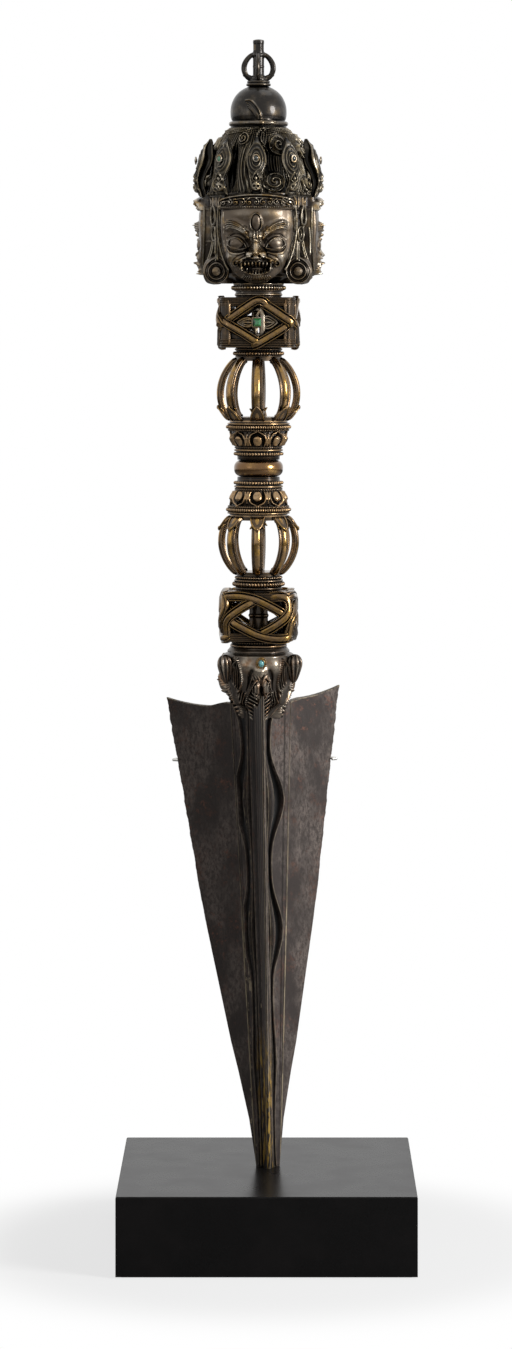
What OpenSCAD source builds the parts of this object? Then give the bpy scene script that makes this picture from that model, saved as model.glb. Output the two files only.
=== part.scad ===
// Three-bladed ritual dagger on its display plinth, with every section of the hilt threaded on one tang.
// Millimetres. The origin is the centre of the plinth's underside, +Z is up and the viewer stands at -Y.

/* [Display stand] */
// Width and depth of the square plinth
plinth_w = 103.5; // [84:0.5:140]
// Height of the plinth block
plinth_h = 27.4; // [18:0.1:50]
// Chamfer along the edges of the plinth
plinth_chamfer = 0.4; // [0.2:0.1:1.5]
// Thickness of the felt under the plinth
felt_t = 0.5; // [0.4:0.1:3]
// Distance of the felt's edge inside the plinth's edge
felt_inset = 2; // [1:0.5:10]
// Diameter of the upright support rod
rod_d = 4; // [3:0.1:6]
// Depth of the rod's hole in the plinth
rod_hole_depth = 14; // [8:0.5:16]
// Diameter of the wire that the prongs are bent from
prong_d = 1.1; // [0.9:0.1:2]
// Height of the prongs above the plinth
prong_z = 142.9; // [100:0.1:152]
// Reach of each prong's hook over the face of its fin
hook_reach = 0.9; // [0.6:0.1:4]
// Gap between a prong and the fin that it holds
prong_gap = 0.25; // [0.2:0.05:0.6]

/* [Blade] */
// Height of the blade from its tip to its shoulder
blade_h = 164.2; // [154:0.1:180]
// Radius of the fins at their upper corners
blade_r = 35.7; // [30:0.1:42]
// Radius of the blunt tip
tip_r = 4.6; // [4.2:0.1:6]
// Thickness of a fin along its cutting edge
edge_t = 1.5; // [0.8:0.1:2]
// Thickness of a fin along its ridge line
ridge_t = 4.4; // [3.6:0.1:5.2]
// Distance of the ridge lines from the axis at the shoulder
ridge_r = 11.1; // [10:0.1:12]
// Distance of the valley floors from the axis at the shoulder
valley_r = 4.6; // [4:0.1:5.2]
// Rise of the horned upper corners above the shoulder
horn_rise = 2.9; // [1:0.1:6]
// Further rise of the corner that faces the viewer
front_horn_rise = 2.9; // [0:0.1:4]
// Dip of the upper edges between the shoulder and the horns
horn_dip = 0.45; // [0:0.05:2]
// Height by which the right fin's upper edge stands above, and the left's below, the shoulder
fin_offset = 1.2; // [0:0.1:2]
// Lean of the blade in the plane of the viewer
blade_lean = 1.5; // [0:0.1:2.5]
// Turn of the blade about its axis
blade_turn = 4; // [-10:0.5:10]
// Length of one coil of the serpents carved along the valleys
coil_pitch = 49.5; // [35:0.5:70]
// Widest half-span of a serpent's coil at the shoulder
coil_half_w = 3.3; // [1.5:0.1:3.6]
// Width of the groove beside the serpent
groove_w = 1.7; // [1:0.1:2]
// Depth of the groove beside the serpent
groove_depth = 1.3; // [0.4:0.1:1.6]
// Diameter of the tang
tang_d = 3.2; // [2.6:0.1:4]
// Radial gap between the tang and what is threaded on it
tang_fit = 0.05; // [0.02:0.01:0.1]

/* [Makara head] */
// Height of the sea-creature head that grips the blade
makara_h = 20.1; // [16:0.1:24]
// Radius of the makara head at its brow
makara_r = 12.6; // [11.9:0.1:13.6]
// Reach of its ears from the axis
makara_ear_r = 17; // [14.5:0.1:19]
// Reach of its snouts from the axis
makara_snout_r = 15.6; // [14:0.1:18]
// Radius of the collar above the makara head
makara_collar_r = 10.1; // [9:0.1:11.5]
// Height of the collar above the makara head
makara_collar_h = 2.6; // [1.8:0.1:4]
// Radius of the turquoise set in each brow
turquoise_r = 1; // [0.7:0.1:1.4]
// Thickness of the wall of every stone's bezel
bezel_wall = 0.5; // [0.3:0.1:0.8]

/* [Knots] */
// Half-width of the lower knot
lower_knot_w = 13.6; // [12:0.1:16]
// Height of the lower knot
lower_knot_h = 17.2; // [14:0.1:20]
// Half-width of the upper knot
upper_knot_w = 14.45; // [12:0.1:16.5]
// Height of the upper knot
upper_knot_h = 17.8; // [14:0.1:20]
// Width of the bands that the knots are woven from
band_w = 2.8; // [2:0.1:3.2]
// Thickness of those bands
band_t = 2.4; // [1.8:0.1:3]
// Step between the bands that pass over and those that pass under
band_step = 0.5; // [0.2:0.1:0.8]
// Radius of the rounded corners of the knots
knot_corner_r = 4.2; // [3:0.1:5]
// Diameter of the plain post inside the lower knot
post_d = 5.6; // [5:0.1:8]
// Half-width of the green stone in each face of the upper knot
knot_stone_w = 1.3; // [0.8:0.1:1.6]
// Depth of the setting that carries each green stone
knot_setting_t = 2.2; // [1.6:0.1:3]

/* [Vajra grip] */
// Height of the lower cage of prongs
lower_cage_h = 21; // [17:0.1:25]
// Widest radius of the lower cage
lower_cage_r = 14.2; // [12.5:0.1:16]
// Height of the upper cage of prongs
upper_cage_h = 22.4; // [17:0.1:25]
// Widest radius of the upper cage
upper_cage_r = 14.7; // [12.5:0.1:16]
// Width of each prong of the cages
prong_w = 4; // [2.6:0.1:4.6]
// Radial thickness of each prong of the cages
prong_t = 2.6; // [1.8:0.1:3.2]
// Radius of the cages where they meet the knots
cage_end_r = 8; // [7.6:0.1:9]
// Radius of the cages where they meet the lotus seats
cage_seat_r = 10.4; // [9.4:0.1:11]
// Height of the solid rings that close each cage
cage_ring_h = 1.4; // [1:0.1:2]
// Height of the collar between the lower knot and its cage
lower_collar_h = 5.7; // [4.2:0.1:7]
// Height of the collar between the upper cage and its knot
upper_collar_h = 3.4; // [2.6:0.1:5]
// Radius of the bead ring on those collars
collar_bead_r = 9.3; // [8.9:0.1:10.5]
// Radius of the flange on each lotus seat
lotus_flange_r = 11.6; // [11:0.1:12.6]
// Thickness of that flange
lotus_flange_t = 2.4; // [1.6:0.1:3.2]
// Radius of the lotus at the fullest part of its petals
lotus_r = 10.9; // [10.2:0.1:11.5]
// Height of the petals
petal_h = 5.8; // [4.6:0.1:7]
// Number of petals in each lotus
petal_count = 8; // [6:1:12]
// Height of the roped band below the petals
lotus_rope_h = 3.4; // [2.6:0.1:4.4]
// Radius of the roped band
lotus_rope_r = 8.8; // [8.2:0.1:9.6]
// Height of the plain neck at each end of a lotus seat
lotus_neck_h = 1.15; // [0.8:0.05:2]
// Radius of the neck beside the grip bead
lotus_neck_r = 7.5; // [6.8:0.1:8]
// Height of the polished bead in the middle of the grip
grip_bead_h = 6.1; // [5:0.1:7.5]
// Radius of that bead
grip_bead_r = 8.75; // [8.2:0.05:9.6]

/* [Head and crown] */
// Height of the collar under the chins
neck_collar_h = 5; // [3.6:0.1:7]
// Radius of the bead ring on that collar
neck_bead_r = 9.8; // [9.2:0.1:10.6]
// Height of the faces from chin to crown
head_h = 26.4; // [24:0.1:32]
// Reach of the brows and cheeks from the axis
face_r = 21.8; // [20.5:0.1:23]
// Reach of the noses from the axis
nose_r = 25; // [24:0.1:26.5]
// Turn of the whole hilt about its axis
hilt_turn = -2; // [-20:1:20]
// Radius of the earring discs
earring_r = 4.4; // [3.4:0.1:5]
// Thickness of the earring discs
earring_t = 1.8; // [1.2:0.1:2.2]
// Height of the centre of the earrings above the chins
earring_z = 4.1; // [3.6:0.1:6]
// Height of the band of the crown
crown_band_h = 4.2; // [3:0.1:6]
// Distance of the crown band outside the temples
crown_band_out = 1.2; // [0.4:0.1:2]
// Height of the crown's leaves above the band
leaf_h = 20.6; // [15:0.1:23]
// Width of a crown leaf
leaf_w = 8; // [6:0.1:9.4]
// Thickness of a crown leaf
leaf_t = 1.6; // [1.2:0.1:2.2]
// Radius of the circle that the leaves stand on
leaf_ring_r = 21.2; // [19.8:0.1:22]
// Angle between the middle leaf of a face and the next
leaf_step = 36; // [33:1:40]
// Radius of the stone in a crown leaf
leaf_stone_r = 0.8; // [0.5:0.1:1.1]
// Height of the hair mound
hair_h = 24.6; // [20:0.1:28]
// Radius of the hair mound at its foot
hair_r = 16.8; // [15.5:0.1:17.2]

/* [Dome and finial] */
// Height of the dome on the hair mound with its lip
dome_h = 14.6; // [12:0.1:18]
// Radius of the dome
dome_r = 9.95; // [9:0.05:11]
// Height of the lip under the dome
dome_lip_h = 2.2; // [1.4:0.1:3]
// Height of the collar under the finial
finial_collar_h = 2.2; // [1.4:0.1:3]
// Radius of that collar
finial_collar_r = 4.4; // [3.8:0.1:5]
// Height of the finial's cage of prongs
finial_cage_h = 9; // [7.5:0.1:11]
// Radius of the finial's cage
finial_r = 5.9; // [5:0.1:7]
// Width of each prong of the finial
finial_prong_w = 1.8; // [1.4:0.1:2.2]
// Height of the spike above the finial's cage
finial_spike_h = 5.6; // [4:0.1:8]
// Radius of the spike
finial_spike_r = 1.5; // [1.2:0.1:1.8]

/* [Hidden] */
$fn = 64;

// The hilt stands a little left of the plinth's centre, so that the leaning tip comes down near it
hilt_x = -3;
// The forged blade also sits a little left of the hilt at its shoulder
blade_top_x = -0.9;
face_count = 3;
face_step = 360 / face_count;
front = -90;
cage_prongs = 8;
// Depth that joined forms reach into each other
bite = 0.4;

// Heights of the joints between the sections, from the plinth's top upward
plinth_top = felt_t + plinth_h;
makara_z = plinth_top + blade_h;
makara_collar_z = makara_z + makara_h;
lower_knot_z = makara_collar_z + makara_collar_h;
lower_collar_z = lower_knot_z + lower_knot_h;
lower_cage_z = lower_collar_z + lower_collar_h;
lower_lotus_z = lower_cage_z + lower_cage_h;
lotus_h = lotus_neck_h + lotus_flange_t + petal_h + lotus_rope_h + lotus_neck_h;
grip_bead_z = lower_lotus_z + lotus_h;
upper_lotus_z = grip_bead_z + grip_bead_h;
upper_cage_z = upper_lotus_z + lotus_h;
upper_collar_z = upper_cage_z + upper_cage_h;
upper_knot_z = upper_collar_z + upper_collar_h;
neck_collar_z = upper_knot_z + upper_knot_h;
head_z = neck_collar_z + neck_collar_h;
crown_band_z = head_z + head_h;
hair_z = crown_band_z + crown_band_h;
dome_z = hair_z + hair_h;
finial_collar_z = dome_z + dome_h;
finial_z = finial_collar_z + finial_collar_h;

bore_r = tang_d / 2 + tang_fit;
// The bores through the cast heads are wider, because their walls are flats
cast_bore_r = bore_r + 0.4;
// The tang ends inside the dome
tang_top_z = dome_z + dome_h - 4;
tang_hole_top_z = tang_top_z + 0.5;

// Blade form. A share of 0 is the tip and a share of 1 is the shoulder.
shoulder_r = 12.8;
tip_edge_t = edge_t * 0.8;
tip_ridge_r = tip_r - 0.8;
tip_ridge_t = ridge_t * 0.62;
tip_valley_r = tip_r * 0.63;
blade_rings = 36;
fin_steps = 4;
// The serpent's back stands up by this share of the valley's radius, and its coils cross with this half-width
lens_rise = 0.16;
groove_gap = 0.15;
tip_coil_half_w = 1.1;
// The grooves run out to this share of their depth at the shoulder, where the makara's jaws cover them
groove_fade = 0.75;
fin_outline = [[0, 0], [0.1, 0.077], [0.2, 0.196], [0.263, 0.28], [0.576, 0.62], [0.8, 0.812], [1, 1]];
function mix(a, b, t) = a + (b - a) * t;
function fin_r(share) = tip_r + (blade_r - tip_r) * lookup(share, fin_outline);
function blade_x(share) = blade_top_x + (1 - share) * blade_h * tan(blade_lean);
function fin_angle(k) = front + blade_turn + k * face_step;
tip_x = hilt_x + blade_x(0);

// Each height on a cage, from 0 at one end to 1 at the other, has this share of the cage's bulge
function bulge(t) = pow(sin(180 * t), 0.62);

// Smooth bump of height 1 centred on zero
function bump(d, width) = exp(-pow(d / width, 2));
// Angle from the middle of the nearest face
function from_face(a) =
    let (d = abs(a % face_step))
    d < face_step / 2 ? d : face_step - d;

// Corner-rounded square outline
module rounded_square(half_w, corner_r) {
    square([2 * half_w, 2 * (half_w - corner_r)], center = true);
    square([2 * (half_w - corner_r), 2 * half_w], center = true);
    for (sx = [-1, 1], sy = [-1, 1])
        translate([sx * (half_w - corner_r), sy * (half_w - corner_r)]) circle(corner_r);
}

// Half-round bead running round a turned piece, centred at height z with its crest at radius r
module bead_section(r, z, bead_r) {
    translate([r - bead_r, z]) circle(bead_r);
}

// Wall of a turned piece between the tang's bore and radius r
module wall_section(r, z, h) {
    translate([bore_r, z]) square([r - bore_r, h]);
}

// Turned form that tapers from r0 at height z0 to r1 at height z1
module taper_section(r0, z0, r1, z1) {
    polygon([[bore_r, z0], [r0, z0], [r1, z1], [bore_r, z1]]);
}

// Upright closed form whose radius comes from a function of the angle and of the height's share,
// with a round bore through it
module cast_form(form, h, rings, sides, hole_r) {
    shell = [for (i = [0:rings], j = [0:sides - 1])
        let (a = 360 * j / sides, r = form(a, i / rings)) [r * cos(a), r * sin(a), h * i / rings]];
    hole = [for (z = [0, h], j = [0:sides - 1])
        let (a = 360 * j / sides) [hole_r * cos(a), hole_r * sin(a), z]];
    low = len(shell);
    high = low + sides;
    top = rings * sides;
    skin = [for (i = [0:rings - 1], j = [0:sides - 1])
        let (k = (j + 1) % sides, a = i * sides, b = a + sides)
        each [[a + j, b + j, b + k], [a + j, b + k, a + k]]];
    inner = [for (j = [0:sides - 1]) let (k = (j + 1) % sides)
        each [[low + j, low + k, high + k], [low + j, high + k, high + j]]];
    ends = [for (j = [0:sides - 1]) let (k = (j + 1) % sides)
        each [[j, k, low + k], [j, low + k, low + j],
            [top + j, high + k, top + k], [top + j, high + j, high + k]]];
    polyhedron(points = concat(shell, hole), faces = concat(skin, inner, ends));
}

// Places a child on the hilt's axis at height z
module on_hilt(z, turn = 0) {
    translate([hilt_x, 0, z]) rotate([0, 0, turn]) children();
}

// Straight round wire from one point to another in the level plane, with a slightly swollen bend at its end
bend_swell = 0.06;
module wire_leg(p, q) {
    d = q - p;
    translate([p[0], p[1], 0]) rotate([0, 0, atan2(d[1], d[0])]) rotate([0, 90, 0]) {
        cylinder(d = prong_d, h = norm(d));
        translate([0, 0, norm(d)]) sphere(d = prong_d + bend_swell);
    }
}

// DISPLAY STAND

rod_y = fin_r(prong_z / blade_h) + prong_gap;
rod_top_z = plinth_top + prong_z + prong_d;

module plinth() {
    c = plinth_chamfer;
    w = plinth_w / 2;
    profile = [[-w, 0], [w, 0], [w, plinth_h - c], [w - c, plinth_h], [c - w, plinth_h], [-w, plinth_h - c]];
    color("#161616")
    difference() {
        intersection() {
            translate([-w, -w, felt_t]) cube([plinth_w, plinth_w, plinth_h]);
            translate([0, w, felt_t]) rotate([90, 0, 0]) linear_extrude(plinth_w)
                polygon(profile);
            translate([-w, 0, felt_t]) rotate([90, 0, 90]) linear_extrude(plinth_w)
                polygon(profile);
        }
        translate([tip_x, rod_y, plinth_top - rod_hole_depth])
            cylinder(d = rod_d + 2 * tang_fit, h = rod_hole_depth + 1);
    }
}

module felt_pad() {
    w = plinth_w - 2 * felt_inset;
    color("#20201f") translate([-w / 2, -w / 2, 0]) cube([w, w, felt_t]);
}

module support_rod() {
    foot_z = plinth_top - rod_hole_depth;
    color("#9a9a98") translate([tip_x, rod_y, foot_z]) cylinder(d = rod_d, h = rod_top_z - foot_z);
}

// Wire prong round the edge of fin k: from the rod, along the fin's back, round its edge and onto its face
module prong(k, side) {
    share = prong_z / blade_h;
    a = fin_angle(k);
    out = [cos(a), sin(a)];
    face = side * [sin(a), -cos(a)];
    axis = [hilt_x + blade_x(share), 0];
    off = edge_t / 2 + prong_gap + prong_d / 2;
    rim = fin_r(share) + prong_gap + prong_d / 2;
    behind = axis + (rim - hook_reach - prong_d) * out - (off + 0.5) * face;
    back_corner = axis + rim * out - off * face;
    face_corner = axis + rim * out + off * face;
    tip = axis + (rim - prong_d / 2 - hook_reach) * out + (off + 0.12) * face;
    rod = [tip_x, rod_y];
    away = (behind - rod) / norm(behind - rod);
    start = rod + (rod_d / 2 + 0.02) * away;
    color("#b9b9b6") translate([0, 0, plinth_top + prong_z]) {
        wire_leg(start, behind);
        wire_leg(behind, back_corner);
        wire_leg(back_corner, face_corner);
        wire_leg(face_corner, tip);
    }
}

module left_prong() {
    prong(2, -1);
}

module right_prong() {
    prong(1, 1);
}

// BLADE

// Half-span of the serpent's coil: full beside each coil and nothing where two coils cross
coil_top_z = blade_h - 30.1;
function coil(share) = pow(0.5 + 0.5 * cos(360 * (share * blade_h - coil_top_z) / coil_pitch), 1.5);

// Height of the upper edge above the shoulder, at radius rho on fin k
function upper_edge(rho, k) = let (t = max(0, (rho - shoulder_r) / (blade_r - shoulder_r)))
    (horn_rise + (k == 0 ? front_horn_rise : 0)) * t * t - 4 * horn_dip * t * (1 - t)
        + [0, fin_offset, -fin_offset][k] * min(1, 4 * t);

// Seventeen points of the blade's outline round fin k and the valley after it, as [x, y, radius]
function fin_points(share, k) = let (
        a = fin_angle(k),
        r = fin_r(share),
        e = mix(tip_edge_t, edge_t, share) / 2,
        s = mix(tip_ridge_r, ridge_r, share),
        h = mix(tip_ridge_t, ridge_t, share) / 2,
        v = mix(tip_valley_r, valley_r, share),
        span = mix(tip_coil_half_w, coil_half_w, share) * coil(share),
        g = mix(0.5, 1, share) * groove_w / 2,
        deep = mix(0.4, 1, share) * groove_depth * (1 - groove_fade * pow(share, 16)),
        half = face_step / 2,
        ridge = [s, h],
        valley_floor = [v * cos(half), v * sin(half)],
        along = (ridge - valley_floor) / norm(ridge - valley_floor),
        inward = [-along[1], along[0]] * sign(along[1]),
        lens = valley_floor + (groove_gap + span) * along,
        trough = lens + g * along + deep * inward,
        lip = lens + 2 * g * along,
        crest = s + (shoulder_r - ridge_r) * mix(0.3, 1, share),
        flank = [for (i = [0:fin_steps])
            let (p = i == 0 ? s : mix(crest, r, (i - 1) / (fin_steps - 1))) [p, mix(h, e, (p - s) / (r - s))]],
        near = concat([for (p = flank) [p[0], -p[1]]], [for (i = [fin_steps:-1:0]) flank[i]]),
        mirror_valley = [for (p = [lens, trough, lip])
            [p[0] * cos(face_step) + p[1] * sin(face_step), p[0] * sin(face_step) - p[1] * cos(face_step)]],
        valley = concat([lip, trough, lens, valley_floor * (1 + lens_rise * coil(share))], mirror_valley)
    ) [for (p = concat(near, valley))
        [p[0] * cos(a) - p[1] * sin(a), p[0] * sin(a) + p[1] * cos(a), abs(p[0]), k]];

fin_size = 2 * (fin_steps + 1) + 7;
ring_size = face_count * fin_size;

function blade_ring(share) = [for (k = [0:face_count - 1], p = fin_points(share, k))
    let (
        x = p[0] + hilt_x + blade_x(share),
        rim = max(0, min(1, (p[2] - shoulder_r) / (blade_r - shoulder_r))),
        z = share * (blade_h + upper_edge(p[2], k) + rim * p[0] * sin(blade_lean))
    ) [x, p[1], plinth_top + z]];

module blade_body() {
    rows = [for (i = [0:blade_rings]) blade_ring(i / blade_rings)];
    centres = [[tip_x, 0, plinth_top], [hilt_x + blade_top_x, 0, makara_z]];
    points = concat([for (row = rows) each row], centres);
    n = ring_size;
    top = blade_rings * n;
    foot_centre = len(points) - 2;
    head_centre = len(points) - 1;
    skin = [for (i = [0:blade_rings - 1], j = [0:n - 1])
        let (k = (j + 1) % n, a = i * n, b = a + n) each [[a + j, b + j, b + k], [a + j, b + k, a + k]]];
    foot = [for (j = [0:n - 1]) [foot_centre, j, (j + 1) % n]];
    last = 2 * fin_steps + 1;
    fins = [for (f = [0:face_count - 1], i = [0:fin_steps - 1])
        let (b = top + f * fin_size, p = b + i, q = b + last - i) each [[p, q, p + 1], [p + 1, q, q - 1]]];
    core = [for (f = [0:face_count - 1]) let (b = f * fin_size) each concat(
        [[head_centre, top + b + last, top + b]],
        [for (i = [last:fin_size - 1]) [head_centre, top + (b + i + 1) % n, top + b + i]])];
    polyhedron(points = points, faces = concat(skin, foot, fins, core));
}

module blade() {
    color("#3b322d") {
        blade_body();
        on_hilt(makara_z - 8) cylinder(d = tang_d, h = tang_top_z - makara_z + 8);
    }
}

// MAKARA HEAD

makara_form = function(a, t) let (
        d = from_face(a - front),
        body = makara_r + lookup(t, [[0, -1.4], [0.2, -0.9], [0.5, 0], [0.85, -0.3], [1, -2.2]]),
        snout = (makara_snout_r - makara_r) * bump(d, 14) * bump(t - 0.26, 0.2),
        ear = (makara_ear_r - makara_r) * bump(d - face_step / 2, 9) * bump(t - 0.66, 0.24)
    ) body + snout + ear;

module makara_head() {
    color("#3a2f27") on_hilt(makara_z, blade_turn) cast_form(makara_form, makara_h, 12, 72, cast_bore_r);
}

// Places a child on each of the three brows, pointing outward
stone_z = makara_z + makara_h * 0.76;
module on_brows(r) {
    for (k = [0:face_count - 1])
        on_hilt(stone_z, fin_angle(k)) translate([r, 0, 0]) rotate([0, 90, 0]) children();
}

bezel_h = 1;
module makara_bezels() {
    color("#8a6a3c") on_brows(makara_r) difference() {
        cylinder(r = turquoise_r + bezel_wall, h = bezel_h);
        translate([0, 0, bezel_h / 2]) cylinder(r = turquoise_r, h = bezel_h);
    }
}

module makara_turquoises() {
    color("#6fb3b5") on_brows(makara_r + bezel_h / 2) intersection() {
        cylinder(r = turquoise_r - tang_fit, h = bezel_h);
        translate([0, 0, bezel_h - 2 * turquoise_r]) sphere(r = 2 * turquoise_r);
    }
}

module makara_collar() {
    h = makara_collar_h;
    color("#3c3027") on_hilt(makara_collar_z) rotate_extrude() {
        wall_section(makara_collar_r - 0.6, 0, h);
        bead_section(makara_collar_r, h * 0.3, h * 0.22);
        bead_section(makara_collar_r, h * 0.72, h * 0.22);
    }
}

// KNOTS

// Straight band on the face of a knot, from [x, z] to [x, z], with its outer face at depth y
module band(p, q, y) {
    d = q - p;
    translate([p[0], -y, p[1]]) rotate([0, -atan2(d[1], d[0]), 0]) translate([0, 0, -band_w / 2])
        cube([norm(d), band_t, band_w]);
}

// Square-plan openwork knot: two rails, four corners, and a woven diamond on each face
module knot(half_w, h) {
    rail_h = band_w * 0.7;
    mid = h / 2;
    reach = half_w - knot_corner_r / 2;
    low = band_w / 2 + 0.3;
    difference() {
        linear_extrude(h) rounded_square(half_w - band_step, knot_corner_r);
        translate([0, 0, rail_h]) linear_extrude(h - 2 * rail_h)
            rounded_square(half_w - band_step - band_t, knot_corner_r - band_t / 2);
        for (turn = [0, 90]) rotate([0, 0, turn])
            translate([knot_corner_r + band_t / 2 - half_w, -half_w - 1, rail_h])
                cube([2 * half_w - 2 * knot_corner_r - band_t, 2 * half_w + 2, h - 2 * rail_h]);
        translate([0, 0, -1]) cylinder(r = bore_r, h = h + 2);
    }
    for (turn = [0:90:270]) rotate([0, 0, turn]) {
        band([-reach, mid - 0.5], [band_w, h - low], half_w - band_step);
        band([-band_w, h - low], [reach, mid + 0.5], half_w);
        band([reach, mid + 0.5], [-band_w, low], half_w - band_step);
        band([band_w, low], [-reach, mid - 0.5], half_w);
    }
}

module lower_knot() {
    color("#6b4d22") on_hilt(lower_knot_z, hilt_turn) knot(lower_knot_w, lower_knot_h);
}

module upper_knot() {
    color("#5f4526") on_hilt(upper_knot_z, hilt_turn) knot(upper_knot_w, upper_knot_h);
}

// The knots' floors are as thick as their rails, and the post stands between them
module knot_post() {
    floor_h = band_w * 0.7;
    h = lower_knot_h - 2 * floor_h;
    color("#3a2d22") on_hilt(lower_knot_z + floor_h) rotate_extrude() {
        wall_section(post_d / 2, 0, h);
        wall_section(post_d / 2 + 0.7, 0, h * 0.2);
        wall_section(post_d / 2 + 0.7, h * 0.8, h * 0.2);
    }
}

// Each face of the upper knot holds a stem with leaves and one green stone
setting_y = upper_knot_w - band_t - knot_setting_t / 2;
module on_knot_faces() {
    for (turn = [0:90:270])
        on_hilt(upper_knot_z + upper_knot_h / 2, turn + hilt_turn) translate([0, -setting_y, 0]) children();
}

module knot_settings() {
    stem_h = upper_knot_h - 2 * band_w * 0.7;
    t = knot_setting_t;
    color("#4a3a2a") on_knot_faces() difference() {
        union() {
            translate([-0.8, 0, -stem_h / 2]) cube([1.6, t, stem_h]);
            rotate([-90, 0, 0]) intersection() {
                translate([0, upper_knot_w * 0.36, 0]) cylinder(r = upper_knot_w * 0.48, h = t);
                translate([0, -upper_knot_w * 0.36, 0]) cylinder(r = upper_knot_w * 0.48, h = t);
            }
        }
        translate([-knot_stone_w, -1, -knot_stone_w]) cube([2 * knot_stone_w, 1 + t / 2, 2 * knot_stone_w]);
    }
}

module knot_stones() {
    w = knot_stone_w - tang_fit;
    t = knot_setting_t / 2;
    color("#2f8f4e") on_knot_faces() intersection() {
        translate([-w, -0.5, -w]) cube([2 * w, t + 0.5, 2 * w]);
        translate([0, 2.4 * w - 0.5, 0]) sphere(r = 2.4 * w);
    }
}

// COLLARS, CAGES AND LOTUS SEATS

module lower_collar() {
    h = lower_collar_h;
    color("#5a4326") on_hilt(lower_collar_z) rotate_extrude() {
        wall_section(cage_end_r - 0.2, 0, h);
        bead_section(cage_end_r + 0.5, h * 0.22, 0.6);
        bead_section(collar_bead_r, h * 0.48, 0.9);
        wall_section(collar_bead_r - 0.9, h * 0.4, h * 0.16);
        bead_section(cage_end_r + 0.7, h * 0.78, 0.8);
    }
}

module upper_collar() {
    h = upper_collar_h;
    color("#5a4326") on_hilt(upper_collar_z) rotate_extrude() {
        wall_section(cage_end_r - 0.2, 0, h);
        bead_section(collar_bead_r, h * 0.4, 0.8);
        wall_section(collar_bead_r - 0.8, h * 0.26, h * 0.28);
        bead_section(cage_end_r + 0.4, h * 0.8, 0.5);
    }
}

// Outline of a cage's wall: a crescent from the lower end radius through the bulge to the upper one
module crescent(h, r_low, r_high, r_max, t) {
    steps = 14;
    outer = [for (i = [0:steps]) let (u = i / steps, base = mix(r_low, r_high, u))
        [base + (r_max - (r_low + r_high) / 2) * bulge(u), h * u]];
    inner = [for (i = [steps:-1:0]) let (u = i / steps, base = mix(r_low, r_high, u) - t)
        [base + (r_max - (r_low + r_high) / 2) * bulge(u) * 0.98, h * u]];
    polygon(concat(outer, inner));
}

// Cage of curved prongs between two closing rings
module cage(h, r_low, r_high, r_max, count, w, t, ring_h, hole_r) {
    intersection() {
        rotate_extrude() crescent(h, r_low, r_high, r_max, t);
        for (k = [0:count / 2 - 1]) rotate([0, 0, 180 * k * 2 / count])
            translate([-r_max - 1, -w / 2, 0]) cube([2 * r_max + 2, w, h]);
    }
    rotate_extrude() {
        translate([hole_r, 0]) square([r_low - hole_r, ring_h]);
        translate([hole_r, h - ring_h]) square([r_high - hole_r, ring_h]);
    }
}

module lower_cage() {
    color("#6b4a23") on_hilt(lower_cage_z, hilt_turn)
        cage(lower_cage_h, cage_end_r, cage_seat_r, lower_cage_r, cage_prongs, prong_w, prong_t, cage_ring_h,
            bore_r);
}

module upper_cage() {
    color("#6b4a23") on_hilt(upper_cage_z, hilt_turn)
        cage(upper_cage_h, cage_seat_r, cage_end_r, upper_cage_r, cage_prongs, prong_w, prong_t, cage_ring_h,
            bore_r);
}

// Lotus seat with its flange at the top: neck, roped band, a bowl with raised petals, flange, neck
module lotus() {
    rope_z = lotus_neck_h;
    petal_z = rope_z + lotus_rope_h;
    flange_z = petal_z + petal_h;
    top_z = flange_z + lotus_flange_t;
    rotate_extrude() {
        wall_section(lotus_neck_r, 0, lotus_neck_h + bite);
        wall_section(lotus_rope_r - 0.8, rope_z, lotus_rope_h);
        bead_section(lotus_rope_r, rope_z + lotus_rope_h * 0.3, lotus_rope_h * 0.26);
        bead_section(lotus_rope_r - 0.2, rope_z + lotus_rope_h * 0.8, lotus_rope_h * 0.18);
        taper_section(lotus_rope_r - 0.6, petal_z, lotus_r - 1.4, petal_z + petal_h * 0.6);
        wall_section(lotus_r - 1.4, petal_z + petal_h * 0.6, petal_h * 0.4);
        wall_section(lotus_flange_r - lotus_flange_t * 0.4, flange_z, lotus_flange_t);
        bead_section(lotus_flange_r, flange_z + lotus_flange_t / 2, lotus_flange_t * 0.42);
        wall_section(cage_seat_r, top_z, lotus_neck_h);
    }
    // Each petal is the part of a swelling ring that lies inside a pointed arch
    petal_w = 2 * lotus_r * sin(180 / petal_count) * 0.86;
    intersection() {
        translate([0, 0, petal_z]) rotate_extrude()
            polygon([[lotus_rope_r - 1.2, 0], [lotus_rope_r, 0], [lotus_r - 0.5, petal_h * 0.25],
                [lotus_r, petal_h * 0.55], [lotus_r - 0.3, petal_h * 0.9], [lotus_r - 1.8, petal_h * 0.9]]);
        for (k = [0:petal_count - 1]) rotate([90, 0, 90 + 360 * (k + 0.5) / petal_count])
            translate([0, petal_z - 0.5, 0]) linear_extrude(lotus_r + 1) {
                translate([-petal_w / 2, 0]) square([petal_w, petal_h * 0.5]);
                translate([0, petal_h * 0.5]) circle(petal_w / 2);
            }
    }
}

module lower_lotus() {
    color("#6a4b27") on_hilt(lower_lotus_z + lotus_h) mirror([0, 0, 1]) lotus();
}

module upper_lotus() {
    color("#6a4b27") on_hilt(upper_lotus_z) lotus();
}

module grip_bead() {
    soft = grip_bead_h / 2;
    color("#9a6b2c") on_hilt(grip_bead_z) rotate_extrude() {
        wall_section(grip_bead_r - soft, 0, grip_bead_h);
        intersection() {
            translate([grip_bead_r - soft, soft]) circle(soft);
            wall_section(grip_bead_r, 0, grip_bead_h);
        }
    }
}

// HEAD AND CROWN

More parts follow.
